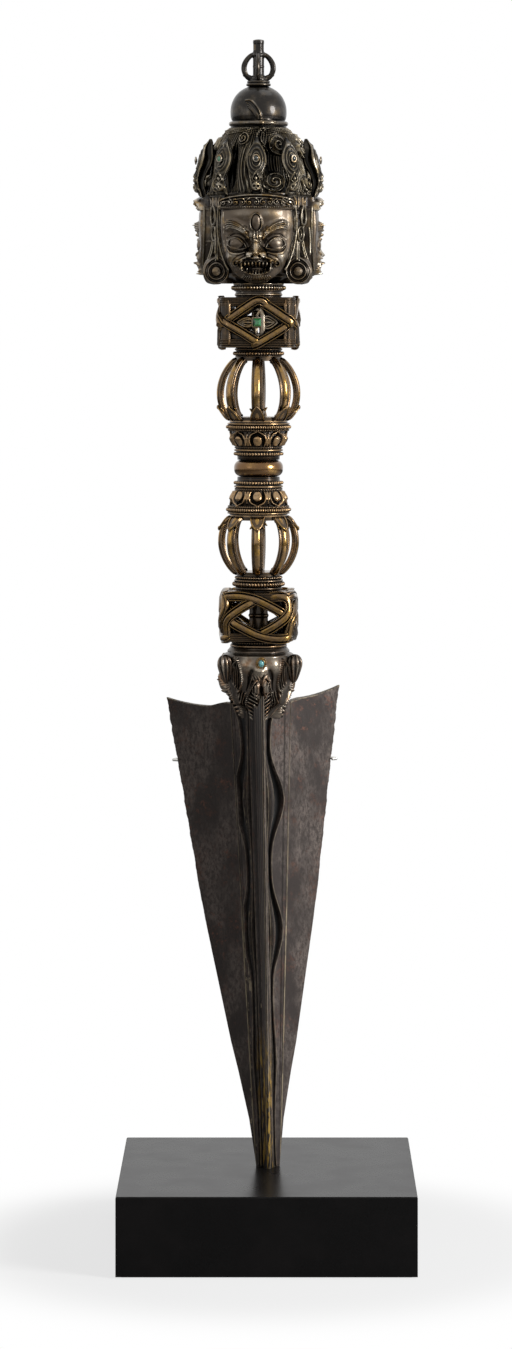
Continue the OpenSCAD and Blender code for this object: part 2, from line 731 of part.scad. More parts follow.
module neck_collar() {
    h = neck_collar_h;
    color("#4a3826") on_hilt(neck_collar_z) rotate_extrude() {
        wall_section(cage_end_r, 0, h);
        bead_section(cage_end_r + 0.6, h * 0.26, 0.7);
        wall_section(neck_bead_r - 0.9, h * 0.56, h * 0.3);
        bead_section(neck_bead_r, h * 0.7, h * 0.17);
    }
}

// Distance of the earrings' outer faces, and of the flats on the head that they sit on, from the axis
earring_spread = face_r * 0.65;
earring_plane = (earring_spread + earring_r) * tan(face_step / 4) + earring_t + 0.15;
earring_seat = earring_plane - earring_t - tang_fit;
seat_angle = 36;
seat_share = 0.36;

// Radius of the three-faced head: three full faces with recessed temples between them
temple_r = 15.6;
face_form = function(a, t) let (
        d = from_face(a - front),
        side = 1 / (1 + exp((d - 40) / 1.8)),
        ear = (lookup(t, [[0, -5], [0.12, -1.6], [0.3, 1.7], [0.85, 1.9], [1, 1.4]])) * bump(d - 55, 8),
        cheek = lookup(t, [[0, -11], [0.04, -6], [0.12, -2.6], [0.25, -0.6], [0.4, 0], [0.8, 0.1], [1, -1.4]]),
        wide = lookup(t, [[0, 0.55], [0.1, 0.75], [0.25, 0.95], [0.4, 1], [1, 1]]),
        nose = (nose_r - face_r) * bump(d, 5 + 2 * (1 - t)) * bump(t - 0.44, 0.13),
        brow = 1.3 * bump(d - 13, 12) * bump(t - 0.71, 0.09),
        eye = 1 * bump(d - 15, 5.5) * bump(t - 0.57, 0.06) - 1 * bump(d - 15, 9) * bump(t - 0.57, 0.12),
        third_eye = 0.8 * bump(d, 4) * bump(t - 0.82, 0.1),
        mouth = 1.2 * bump(d, 17) * (bump(t - 0.31, 0.05) + bump(t - 0.13, 0.06))
            - 1.6 * bump(d, 14) * bump(t - 0.22, 0.05),
        r = temple_r + (face_r - temple_r + cheek) * side * wide + (1 - side) * min(0, cheek) * 0.4
            + ear * (1 - side) + (nose + brow + eye + third_eye + mouth) * side
    ) d > seat_angle && t < seat_share ? min(r, earring_seat / cos(d)) : r;

module head() {
    color("#4b4038") on_hilt(head_z, hilt_turn) cast_form(face_form, head_h, 26, 96, cast_bore_r);
}

// Two discs beside each face, back to back with those of the next face
module earrings() {
    color("#54463a") for (k = [0:face_count - 1], side = [-1, 1])
        on_hilt(head_z + earring_z, front + hilt_turn + k * face_step)
            translate([earring_seat + tang_fit, side * earring_spread, 0]) rotate([0, 90, 0]) {
                difference() {
                    cylinder(r = earring_r, h = earring_t);
                    translate([0, 0, earring_t * 0.75]) cylinder(r = earring_r - 0.9, h = earring_t);
                }
                cylinder(r = earring_r * 0.45, h = earring_t);
            }
}

// Three-lobed outline of the crown band, outside the faces' brows
function band_outline(a, out) = let (d = from_face(a - front), side = 1 / (1 + exp((d - 44) / 5)))
    mix(temple_r + 2.6, face_r - 1.4, side) + out;

module crown_band() {
    sides = 96;
    color("#54483c") on_hilt(crown_band_z, hilt_turn) difference() {
        linear_extrude(crown_band_h)
            polygon([for (j = [0:sides - 1])
                let (a = 360 * j / sides, r = band_outline(a, crown_band_out)) [r * cos(a), r * sin(a)]]);
        translate([0, 0, -1]) cylinder(r = bore_r, h = crown_band_h + 2);
    }
}

// Angles of the crown's leaves: one over each brow and one to either side of it
leaf_angles = [for (k = [0:face_count - 1], s = [-1:1])
    front + hilt_turn + k * face_step + s * leaf_step];

// Pointed leaf with rounded shoulders and a narrow foot, standing on the origin
module leaf_outline() {
    r = leaf_h * 0.72;
    intersection() {
        translate([r - leaf_w / 2, leaf_h * 0.48]) circle(r);
        translate([leaf_w / 2 - r, leaf_h * 0.48]) circle(r);
        translate([-leaf_w, 0]) square([2 * leaf_w, leaf_h]);
    }
    translate([-leaf_w * 0.34, 0]) square([leaf_w * 0.68, leaf_h * 0.3]);
}

// The leaves are cut from one thin barrel that bellies out and closes in at the tips
module crown_leaves() {
    wall = [[0, 0.3], [0.2, 1.5], [0.4, 1.7], [0.55, 1.3], [0.7, 0.6], [0.85, -0.9], [1, -3.1]];
    color("#54483c") on_hilt(hair_z) intersection() {
        rotate_extrude() translate([leaf_ring_r - leaf_t, 0]) polygon(concat(
            [for (p = wall) [p[1] + leaf_t, p[0] * leaf_h]],
            [for (i = [len(wall) - 1:-1:0]) [wall[i][1], wall[i][0] * leaf_h]]));
        for (a = leaf_angles) rotate([90, 0, 90 + a]) translate([0, 0, leaf_ring_r - leaf_t - 4])
            linear_extrude(leaf_t + 8) leaf_outline();
    }
}

leaf_stone_z = hair_z + leaf_h * 0.62;
leaf_face_r = leaf_ring_r + 1.25;
leaf_bezel_h = 0.8;
module on_leaves(r, angles) {
    for (a = angles) on_hilt(leaf_stone_z, a) translate([r, 0, 0]) rotate([0, 90, 0]) children();
}

module leaf_bezels() {
    color("#6b563c") on_leaves(leaf_face_r + 0.05, leaf_angles) difference() {
        cylinder(r = leaf_stone_r + bezel_wall, h = leaf_bezel_h);
        translate([0, 0, leaf_bezel_h / 2]) cylinder(r = leaf_stone_r, h = leaf_bezel_h);
    }
}

module leaf_stones() {
    color("#58a878") on_leaves(leaf_face_r + 0.05 + leaf_bezel_h / 2, leaf_angles) intersection() {
        cylinder(r = leaf_stone_r - tang_fit, h = leaf_bezel_h);
        translate([0, 0, leaf_bezel_h - 2 * leaf_stone_r]) sphere(r = 2 * leaf_stone_r);
    }
}

module hair_mound() {
    r = hair_r;
    h = hair_h;
    color("#4a4038") on_hilt(hair_z) rotate_extrude()
        polygon([[bore_r, 0], [r, 0], [r + 0.3, h * 0.15], [r - 0.3, h * 0.35], [r - 1.4, h * 0.55],
            [r - 2.8, h * 0.72], [r - 4.6, h * 0.87], [dome_r + 0.3, h], [bore_r, h]]);
}

// DOME AND FINIAL

module topknot_dome() {
    body_h = dome_h - dome_lip_h;
    steps = 12;
    color("#3a3430") on_hilt(dome_z) difference() {
        rotate_extrude() {
            translate([0, dome_lip_h * 0.2]) square([dome_r, dome_lip_h * 0.9]);
            square([dome_r - 0.3, dome_lip_h * 0.3]);
            translate([dome_r - 0.1, dome_lip_h * 0.55]) circle(dome_lip_h * 0.35);
            polygon(concat([[0, dome_lip_h]],
                [for (i = [0:steps])
                    let (u = i / steps,
                        side = dome_r * pow(max(0, 1 - pow(max(0, u - 0.12) / 0.88, 2.5)), 0.5),
                        tuck = 0.5 * pow(max(0, 0.12 - u) / 0.12, 2))
                    [side + (u == 1 ? 2.6 : 0) - tuck, dome_lip_h + body_h * u]],
                [[0, dome_h]]));
        }
        translate([0, 0, -1]) cylinder(r = bore_r, h = tang_hole_top_z - dome_z + 1);
    }
}

finial_spigot_r = 1.2;
module finial_collar() {
    h = finial_collar_h;
    color("#3f3730") on_hilt(finial_collar_z) rotate_extrude() difference() {
        union() {
            square([finial_collar_r - 0.5, h]);
            translate([finial_collar_r - h * 0.24, h * 0.4]) circle(h * 0.24);
            translate([finial_collar_r - 0.2 - h * 0.2, h * 0.78]) circle(h * 0.2);
        }
        translate([-1, -1]) square([1 + finial_spigot_r + tang_fit, h + 2]);
    }
}

module finial_vajra() {
    h = finial_cage_h;
    foot_r = finial_collar_r - 1.2;
    color("#4a3b2c") on_hilt(finial_z, hilt_turn) {
        cage(h, foot_r, finial_spike_r + 0.4, finial_r, 4, finial_prong_w, 1.6, 1, 0.5);
        translate([0, 0, -finial_collar_h]) cylinder(r = finial_spigot_r, h = finial_collar_h + 1);
        cylinder(r = finial_spike_r * 0.8, h = h);
        translate([0, 0, h - 0.5])
            cylinder(r = finial_spike_r, h = finial_spike_h - finial_spike_r * 0.5 + 0.5);
        translate([0, 0, h + finial_spike_h - finial_spike_r]) sphere(r = finial_spike_r);
    }
}

plinth();
felt_pad();
support_rod();
left_prong();
right_prong();
blade();
makara_head();
makara_bezels();
makara_turquoises();
makara_collar();
lower_knot();
knot_post();
lower_collar();
lower_cage();
lower_lotus();
grip_bead();
upper_lotus();
upper_cage();
upper_collar();
upper_knot();
knot_settings();
knot_stones();
neck_collar();
head();
earrings();
crown_band();
crown_leaves();
leaf_bezels();
leaf_stones();
hair_mound();
topknot_dome();
finial_collar();
finial_vajra();
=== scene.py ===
"""Three-bladed phurba upright on its display plinth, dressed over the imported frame.

Every form is worked out in millimetres on the hilt's own axis and turned to metres when its mesh is made.
"""
import logging
import math
from dataclasses import dataclass
from enum import Enum
from functools import partial
from typing import Callable, Protocol, Sequence

import bpy
import numpy as np
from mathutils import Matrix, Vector


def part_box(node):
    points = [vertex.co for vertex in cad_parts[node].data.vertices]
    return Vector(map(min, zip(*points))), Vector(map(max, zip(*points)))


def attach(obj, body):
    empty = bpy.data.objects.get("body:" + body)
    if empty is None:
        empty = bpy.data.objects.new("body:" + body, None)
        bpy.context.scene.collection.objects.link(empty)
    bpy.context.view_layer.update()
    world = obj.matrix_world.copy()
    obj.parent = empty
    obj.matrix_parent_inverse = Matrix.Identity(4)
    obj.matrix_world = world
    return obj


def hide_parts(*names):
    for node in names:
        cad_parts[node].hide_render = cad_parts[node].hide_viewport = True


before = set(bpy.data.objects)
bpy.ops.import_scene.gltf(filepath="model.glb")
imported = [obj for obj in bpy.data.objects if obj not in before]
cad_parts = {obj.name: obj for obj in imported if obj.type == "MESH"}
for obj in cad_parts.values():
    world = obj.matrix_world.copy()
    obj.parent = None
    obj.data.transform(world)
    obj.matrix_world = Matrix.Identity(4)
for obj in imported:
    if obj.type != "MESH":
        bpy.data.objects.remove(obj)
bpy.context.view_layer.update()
LOG = logging.getLogger("phurba")

MM = 0.001
# The hilt's axis stands 3 mm to the left, and hilt and blade are turned a little from square, in degrees
HILT_X = -3.0
HILT_TURN = -2.0
BLADE_TURN = 4.0
# The side that faces the viewer, the turn from one face to the next, and the turns of all three
FRONT = -90.0
FACE_STEP = 120.0
THREE = (0.0, FACE_STEP, 2 * FACE_STEP)
Array = np.ndarray
Line = Sequence[Sequence[float]]
Carver = Callable[[Array, Array, Array, Array], tuple[Array, Array]]


class Slot(Enum):
    """The record's material slots."""

    IRON = "forged_iron"
    HILT = "hilt_bronze"
    HEAD = "head_bronze"
    DOME = "dome_bronze"
    BEAD = "worn_bronze"
    TURQUOISE = "turquoise"
    GREEN = "green_stone"


# Helpers for numbers and curves


def srgb(code: str) -> tuple[float, float, float, float]:
    """Turns an sRGB hex colour to a linear one.

    Args:
        code: the colour as "#rrggbb".

    Returns:
        Linear red, green, blue and an alpha of 1.
    """
    values = [int(code[i:i + 2], 16) / 255 for i in (1, 3, 5)]
    linear = [v / 12.92 if v <= 0.04045 else ((v + 0.055) / 1.055) ** 2.4 for v in values]
    return (*linear, 1.0)


def span(node: str) -> tuple[float, float, float]:
    """Foot, top and height of a CAD node in millimetres.

    Args:
        node: the node's name.

    Returns:
        Its lowest and highest z, and the difference.
    """
    low, high = (corner[2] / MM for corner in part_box(node))
    return low, high, high - low


def rotated(x: Array, y: Array, angle: Array | float) -> tuple[Array, Array]:
    """Turns places about the origin by an angle in radians."""
    return x * np.cos(angle) - y * np.sin(angle), x * np.sin(angle) + y * np.cos(angle)


def circle(count: int) -> Array:
    """Angles in radians that share out a full turn."""
    return np.linspace(0, 2 * np.pi, count, endpoint=False)


def around(r: Array, angle: Array, z: Array) -> Array:
    """Points at a radius, an angle in radians and a height about the hilt's axis."""
    return np.stack([HILT_X + r * np.cos(angle), r * np.sin(angle), z], -1)


def smooth_line(points: Line, steps: int = 8) -> Array:
    """Rounds a line of points with a Catmull-Rom curve.

    Args:
        points: the points that the curve passes through.
        steps: curve points per stretch.

    Returns:
        The points of the curve, one row each.
    """
    p = np.asarray(points, float)
    if len(p) < 3:
        return p
    p = np.vstack([2 * p[0] - p[1], p, 2 * p[-1] - p[-2]])
    t = (np.arange(steps) / steps)[:, None]
    rows = []
    for a, b, c, d in zip(p[:-3], p[1:-2], p[2:-1], p[3:]):
        rows.append(0.5 * (2 * b + (c - a) * t + (2 * a - 5 * b + 4 * c - d) * t ** 2
            + (3 * b - a - 3 * c + d) * t ** 3))
    rows.append(p[-2][None, :])
    return np.vstack(rows)


def eased(x: Array | float, xs: Sequence[float], ys: Sequence[float]) -> Array:
    """Smooth curve through stations, flat beyond its ends.

    Args:
        x: where it is read.
        xs: the stations, rising.
        ys: the value at each station.

    Returns:
        The curve's value at each x.
    """
    line = smooth_line(np.stack([xs, ys], -1), 10)
    order = np.argsort(line[:, 0])
    return np.interp(x, line[order, 0], line[order, 1])


def spiral_line(cu: float, cv: float, radius: float, turns: float, hand: int = 1, start: float = 0.0) -> Array:
    """Flat spiral that closes in on its centre.

    Args:
        cu: centre across, mm.
        cv: centre upward, mm.
        radius: outer radius, mm.
        turns: number of turns.
        hand: 1 or -1 for the way it winds.
        start: angle of its outer end, degrees.

    Returns:
        Its points.
    """
    t = np.linspace(0, 1, int(26 * turns) + 2)
    a = np.radians(start) + hand * 2 * np.pi * turns * t
    r = radius * (1 - t) ** 0.9 + 0.12
    return np.stack([cu + r * np.cos(a), cv + r * np.sin(a)], -1)


def ripple(points: Array, size: float, seed: int) -> Array:
    """Soft unevenness from a few crossed waves, the same on every run.

    Args:
        points: positions in mm, last axis of 3.
        size: length of the waves in mm.
        seed: picks the waves.

    Returns:
        Values of about -1 to 1, one per point.
    """
    rng = np.random.default_rng(seed)
    total = np.zeros(points.shape[:-1])
    for _ in range(7):
        way = rng.normal(size=3)
        way *= 2 * np.pi / (size * rng.uniform(0.6, 1.6)) / np.linalg.norm(way)
        total += np.sin(points @ way + rng.uniform(0, 6.28))
    return total / 3.2


# Meshes


class Form:
    """A mesh under construction, in millimetres."""

    def __init__(self) -> None:
        """Starts an empty form."""
        self.points: list[Array] = []
        self.rubs_and_shades: list[Array] = []
        self.faces: list[list[int]] = []
        self.total = 0

    def add(self, points: Array, faces: Sequence[Sequence[int]] | Array, rub: Array | None = None) -> None:
        """Adds points and the faces between them.

        Args:
            points: rows of x, y, z.
            faces: corner numbers, counted from the first of these points.
            rub: how rubbed each point is, from -1 in a sooty hollow to 1 on a bright crest; on the blade its lowest
                values also paint the grooves' shadow black and its highest paint highlights on lips and edges.
        """
        points = np.asarray(points, float).reshape(-1, 3)
        self.rubs_and_shades.append(np.zeros(len(points)) if rub is None else np.clip(np.ravel(rub), -1, 1))
        if isinstance(faces, np.ndarray):
            self.faces.extend((faces + self.total).tolist())
        else:
            self.faces.extend([[i + self.total for i in f] for f in faces])
        self.points.append(points)
        self.total += len(points)

    def grid(self, points: Array, wrap: bool = False, caps: bool = False, rub: Array | None = None) -> None:
        """Adds a surface of rows and columns of points.

        Args:
            points: rows, columns, 3.
            wrap: joins the last column to the first.
            caps: closes the first and last row.
            rub: how rubbed each point is, with the painted shade and highlights that add describes.
        """
        rows, cols = points.shape[:2]
        i = np.arange(rows - 1)[:, None] * cols
        j = np.arange(cols if wrap else cols - 1)[None, :]
        k = (j + 1) % cols
        quads = np.stack([i + j, i + k, i + k + cols, i + j + cols], -1).reshape(-1, 4)
        first = self.total
        self.add(points, quads, rub)
        if caps:
            self.faces.append([first + c for c in range(cols)][::-1])
            self.faces.append([first + (rows - 1) * cols + c for c in range(cols)])

    def hoop(self, points: Array, rub: Array | None = None) -> None:
        """Adds a surface whose rows are closed rings, with its first and last ring filled."""
        self.grid(points, wrap=True, caps=True, rub=rub)

    def sweep(self, path: Line, section: Line, scale: Array | float = 1.0, normals: Array | None = None,
            closed: bool = False, rub: Array | float = 0.0) -> None:
        """Runs a section along a path.

        Args:
            path: the path's points.
            section: the section's points, across and outward, turning counter-clockwise.
            scale: size of the section at each path point.
            normals: outward direction at each path point, or none to carry one along.
            closed: joins the end of the path to its start.
            rub: how rubbed it is, one value or one for each point of the section.
        """
        path = np.asarray(path, float)
        section = np.asarray(section, float)
        n = len(path)
        tangent = np.roll(path, -1, 0) - np.roll(path, 1, 0) if closed else np.gradient(path, axis=0)
        tangent /= np.linalg.norm(tangent, axis=1)[:, None] + 1e-12
        if normals is None:
            normal = np.cross(tangent[0], [0.3, 0.2, 1.0])
            rows = []
            for t in tangent:
                normal = normal - t * (normal @ t)
                normal /= np.linalg.norm(normal) + 1e-12
                rows.append(normal)
            normals = np.asarray(rows)
        else:
            normals = normals - tangent * (normals * tangent).sum(1)[:, None]
            normals = normals / (np.linalg.norm(normals, axis=1)[:, None] + 1e-12)
        side = np.cross(normals, tangent)
        size = np.broadcast_to(np.asarray(scale, float), (n,))[:, None, None]
        across, outward = section[None, :, :1], section[None, :, 1:]
        grid = path[:, None, :] + size * (across * side[:, None, :] + outward * normals[:, None, :])
        if closed:
            grid = np.concatenate([grid, grid[:1]])
        self.grid(grid, wrap=True, caps=not closed, rub=np.broadcast_to(rub, grid.shape[:2]))

    def tube(self, path: Line, radius: Array | float, sides: int = 12, closed: bool = False, rub: float = 0.0) -> None:
        """Runs a round section along a path, closing to a soft point at each end.

        Args:
            path: the path's points.
            radius: its radius, or one for each point.
            sides: points round it.
            closed: joins the end of the path to its start.
            rub: how rubbed it is.
        """
        a = circle(sides)
        path = np.asarray(path, float)
        size = np.broadcast_to(np.asarray(radius, float), (len(path),)).copy()
        if not closed:
            first = (path[0] - path[1]) / (np.linalg.norm(path[0] - path[1]) + 1e-9) * size[0] * 0.6
            last = (path[-1] - path[-2]) / (np.linalg.norm(path[-1] - path[-2]) + 1e-9) * size[-1] * 0.6
            path = np.vstack([path[0] + first, path, path[-1] + last])
            size = np.concatenate([[size[0] * 0.45], size, [size[-1] * 0.45]])
        self.sweep(path, np.stack([np.cos(a), np.sin(a)], -1), size, closed=closed, rub=rub)

    def blob(self, centre: Sequence[float], radii: Sequence[float], turn: float = 0.0, sides: int = 18) -> None:
        """Adds an ellipsoid.

        Args:
            centre: its centre.
            radii: its half-sizes along its own x, y and z.
            turn: its turn about z, degrees.
            sides: points round it.
        """
        t = np.linspace(0.06, math.pi - 0.06, sides // 2 + 2)[::-1, None]
        a = circle(sides)[None, :]
        x, y, z = radii[0] * np.sin(t) * np.cos(a), radii[1] * np.sin(t) * np.sin(a), radii[2] * np.cos(t) + 0 * a
        x, y = rotated(x, y, math.radians(turn))
        self.hoop(np.stack([centre[0] + x, centre[1] + y, centre[2] + z], -1))

    def round_hilt(self, turns: Sequence[float], lift: float = 0.0) -> None:
        """Sets copies of everything so far round the hilt's axis.

        Args:
            turns: the turn of each copy in degrees.
            lift: how far they are raised.
        """
        points, faces, count = np.vstack(self.points), self.faces, self.total
        self.rubs_and_shades = [np.concatenate(self.rubs_and_shades)] * len(turns)
        self.points, self.faces = [], []
        for n, turn in enumerate(turns):
            x, y = rotated(points[:, 0], points[:, 1], math.radians(turn))
            self.points.append(np.stack([HILT_X + x, y, points[:, 2] + lift], -1))
            self.faces.extend([[i + n * count for i in f] for f in faces])
        self.total = count * len(turns)

    def mesh(self, name: str, scale: float = MM) -> bpy.types.Mesh:
        """Makes the Blender mesh.

        Args:
            name: the mesh's name.
            scale: metres for one unit.

        Returns:
            The mesh, smooth shaded.
        """
        made = bpy.data.meshes.new(name)
        made.from_pydata((np.vstack(self.points) * scale).tolist(), [], self.faces)
        made.attributes.new("rub", "FLOAT", "POINT").data.foreach_set("value",
            np.concatenate(self.rubs_and_shades).astype(np.float32))
        made.validate()
        made.shade_smooth()
        return made

    def fused(self, voxel: float, soften: int = 2) -> "Form":
        """Casts everything so far into one skin with soft joints.

        Args:
            voxel: size of its cells in mm.
            soften: passes of smoothing.

        Returns:
            The new form.
        """
        thing = bpy.data.objects.new("casting", self.mesh("casting", 1.0))
        bpy.context.scene.collection.objects.link(thing)
        remesh = thing.modifiers.new("skin", "REMESH")
        remesh.mode, remesh.voxel_size = "VOXEL", voxel
        if soften:
            soft = thing.modifiers.new("soft", "SMOOTH")
            soft.factor, soft.iterations = 0.5, soften
        baked = bpy.data.meshes.new_from_object(thing.evaluated_get(bpy.context.evaluated_depsgraph_get()))
        points = np.empty(len(baked.vertices) * 3)
        baked.vertices.foreach_get("co", points)
        cast = Form()
        cast.points = [points.reshape(-1, 3)]
        cast.faces = [list(p.vertices) for p in baked.polygons]
        cast.total = len(baked.vertices)
        cast.rubs_and_shades = [np.zeros(cast.total)]
        old = thing.data
        bpy.data.objects.remove(thing)
        bpy.data.meshes.remove(old)
        bpy.data.meshes.remove(baked)
        return cast


class Relief:
    """Carving on a surface: a height in mm at every point of a grid that is laid out in mm."""

    def __init__(self, u: Array, v: Array) -> None:
        """Starts flat.

        Args:
            u: each point's place across, mm.
            v: each point's place upward, mm.
        """
        self.u, self.v = u, v
        self.h = np.zeros_like(u)

    def dome(self, cu: float, cv: float, ru: float, rv: float, height: float, sharp: float = 2.0, turn: float = 0.0,
            pair: bool = False) -> None:
        """Raises, or with a negative height sinks, a soft oval.

        Args:
            cu: centre across.
            cv: centre upward.
            ru: half-width.
            rv: half-height.
            height: its height.
            sharp: 2 is a soft bell, and more gives a flat top with steeper sides.
            turn: its turn in degrees.
            pair: adds its mirror image.
        """
        c, s = math.cos(math.radians(turn)), math.sin(math.radians(turn))
        du, dv = self.u - cu, self.v - cv
        d = np.hypot((du * c + dv * s) / ru, (dv * c - du * s) / rv)
        self.h += height * np.exp(-(d ** sharp) * 1.2)
        if pair:
            self.dome(-cu, cv, ru, rv, height, sharp, -turn)

    def boss(self, cu: float, cv: float, ru: float, rv: float, height: float, pair: bool = False) -> None:
        """Raises a round-backed oval with a crisp foot.

        Args:
            cu: centre across.
            cv: centre upward.
            ru: half-width.
            rv: half-height.
            height: its height.
            pair: adds its mirror image.
        """
        d = ((self.u - cu) / ru) ** 2 + ((self.v - cv) / rv) ** 2
        self.h += height * np.sqrt(np.clip(1 - d, 0, 1))
        if pair:
            self.boss(-cu, cv, ru, rv, height)

    def ridge(self, points: Line, width: float, height: float, sharp: float = 2.0, pair: bool = False,
            beads: float = 0.0, curve: bool = True) -> None:
        """Raises a line, or with a negative height cuts a groove.

        Args:
            points: the line.
            width: its half-width.
            height: its height.
            sharp: shape of its sides, as for a dome.
            pair: adds its mirror image.
            beads: distance between beads along it, or 0 for a plain line.
            curve: rounds the line through its points.
        """
        path = smooth_line(points) if curve else np.asarray(points, float)
        reach = width * 3
        low, high = path.min(0) - reach, path.max(0) + reach
        near = (self.u > low[0]) & (self.u < high[0]) & (self.v > low[1]) & (self.v < high[1])
        p = np.stack([self.u[near], self.v[near]], -1)
        best, along = np.full(len(p), np.inf), np.zeros(len(p))
        walked = 0.0
        for a, b in zip(path[:-1], path[1:]):
            ab = b - a
            length = float(np.hypot(*ab)) + 1e-9
            t = np.clip((p - a) @ ab / length ** 2, 0, 1)
            d = np.hypot(*(p - (a + t[:, None] * ab)).T)
            closer = d < best
            best = np.where(closer, d, best)
            along = np.where(closer, walked + t * length, along)
            walked += length
        rise = height * np.exp(-((best / width) ** sharp))
        if beads:
            rise *= 0.35 + 0.65 * np.abs(np.sin(np.pi * along / beads))
        self.h[near] += rise
        if pair:
            self.ridge([[-x, y] for x, y in points], width, height, sharp, False, beads, curve)


class Turned:
    """A piece of turned work: walls and half-round or beaded rings about the hilt's axis."""

    def __init__(self, z0: float, z1: float) -> None:
        """Starts with its height.

        Args:
            z0: its foot.
            z1: its top.
        """
        self.z0, self.z1 = z0, z1
        self.walls: list[tuple[float, float, float, float]] = []
        self.rings: list[tuple[float, float, float, int]] = []

    def wall(self, z0: float, r0: float, z1: float, r1: float) -> "Turned":
        """Adds a straight wall from radius r0 at height z0 to r1 at z1."""
        self.walls.append((z0, r0, z1, r1))
        return self

    def ring(self, z: float, crest: float, half: float, beads: int = 0) -> "Turned":
        """Adds a half-round ring, or a row of beads, at height z with its crest at that radius."""
        self.rings.append((z, crest, half, beads))
        return self

    def grid(self, sides: int = 576, step: float = 0.11) -> tuple[Array, Array, Array]:
        """Works out the radius all over the piece.

        Args:
            sides: columns round it.
            step: height of a row, mm.

        Returns:
            Angles in degrees, heights and radii, each a grid of rows and columns.
        """
        rows = max(6, int((self.z1 - self.z0) / step))
        z, a = np.meshgrid(np.linspace(self.z0, self.z1, rows), np.linspace(0, 360, sides, endpoint=False)
            + 108 / sides, indexing="ij")
        r = np.full_like(z, 2.0)
        for z0, r0, z1, r1 in self.walls:
            inside = (z >= z0 - 1e-6) & (z <= z1 + 1e-6)
            r = np.where(inside, np.maximum(r, r0 + (r1 - r0) * (z - z0) / max(z1 - z0, 1e-6)), r)
        for zc, crest, half, beads in self.rings:
            gap = half ** 2 - (z - zc) ** 2
            if beads:
                pitch = 360 / beads
                across = ((a + pitch / 2) % pitch - pitch / 2) / (pitch / 2)
                gap = gap - (across * half * 0.98) ** 2
                r = np.where(np.abs(z - zc) < half * 0.8, np.maximum(r, crest - half), r)
            r = np.where(gap > 0, np.maximum(r, crest - half + np.sqrt(np.clip(gap, 0, None))), r)
        return a, z, r

    def into(self, form: Form, sides: int = 576, step: float = 0.11, carve: Carver | None = None) -> None:
        """Adds the piece to a form.

        Args:
            form: where it goes.
            sides: columns round it.
            step: height of a row, mm.
            carve: gives new radii and how rubbed they are from the angles, heights and radii.
        """
        a, z, r = self.grid(sides, step)
        # The crests of rings and beads are rubbed and the joints between them are sooty
        nearby = np.mean([np.roll(r, n, 0) for n in range(-7, 8)] + [np.roll(r, n, 1) for n in range(-5, 6)], axis=0)
        rub = np.clip((r - nearby) / 0.22, -1, 1) * 0.85
        if carve:
            r, rub = carve(a, z, r, rub)
        form.hoop(around(r, np.radians(a), z), rub=rub)


# Finishes

Node = bpy.types.Node
Adder = Callable[..., Node]
# Settings of the sums and mixes that the finishes use most
TIMES = {"operation": "MULTIPLY", "use_clamp": True}
HIGHER = {"operation": "MAXIMUM", "use_clamp": True}
COLOUR = {"data_type": "RGBA"}


def add_node(tree: bpy.types.NodeTree, kind: str, settings: dict | None = None, links: dict | None = None) -> Node:
    """Adds a shader node with its settings and links.

    Args:
        tree: the material's or the world's node tree.
        kind: the node's type, without its prefix.
        settings: attributes of the node, or values of its inputs by name or number.
        links: for each input, by name or number, the node that feeds it, or the node and the name of its output.

    Returns:
        The new node.
    """
    node = tree.nodes.new("ShaderNode" + kind)
    for key, value in (settings or {}).items():
        if isinstance(key, str) and hasattr(node, key):
            setattr(node, key, value)
        else:
            node.inputs[key].default_value = value
    for key, source in (links or {}).items():
        if isinstance(source, tuple):
            output = source[0].outputs[source[1]]
        else:
            output = next(o for o in source.outputs if o.enabled)
        tree.links.new(output, node.inputs[key])
    return node


def new_material(name: str) -> tuple[bpy.types.Material, Adder]:
    """Makes an empty material.

    Args:
        name: the material's name.

    Returns:
        The material, and add_node for its own tree.
    """
    material = bpy.data.materials.new(name)
    material.use_nodes = True
    material.node_tree.nodes.clear()
    return material, partial(add_node, material.node_tree)


def between(first: str, second: str) -> dict:
    """Settings of a mix of two hex colours."""
    return {**COLOUR, 6: srgb(first), 7: srgb(second)}


def smooth(low: float, high: float, first: float = 0.0, last: float = 1.0) -> dict:
    """Settings of a soft step that gives first up to low and last from high on."""
    return {"interpolation_type": "SMOOTHSTEP", "From Min": low, "From Max": high, "To Min": first, "To Max": last}


@dataclass(frozen=True)
class Mottle:
    """Irregular patches whose size is a real one in mm, with how finely and how strongly they break up."""

    size: float
    detail: float = 4.0
    rough: float = 0.55
    stretch: tuple[float, float, float] = (1, 1, 1)

    def made(self, add: Adder) -> Node:
        """Adds the noise in object space.

        Args:
            add: adds a node to the material.

        Returns:
            The noise node.
        """
        shaped = add("Mapping", {"Scale": self.stretch}, {"Vector": (add("TexCoord"), "Object")})
        size = {"Scale": 1 / (self.size * MM), "Detail": self.detail, "Roughness": self.rough}
        return add("TexNoise", size, {"Vector": shaped})

    def patches(self, add: Adder, low: float, high: float, first: float = 0.0, last: float = 1.0) -> Node:
        """Adds the noise and a soft step, so that it parts into patches.

        Args:
            add: adds a node to the material.
            low: noise up to which the value is first.
            high: noise from which the value is last.
            first: value between the patches.
            last: value in the patches.

        Returns:
            The node that gives the value.
        """
        return add("MapRange", smooth(low, high, first, last), {"Value": self.made(add)})


class Finish(Protocol):
    """What every finish has."""

    name: str

    def build(self) -> bpy.types.Material:
        """Makes the material."""


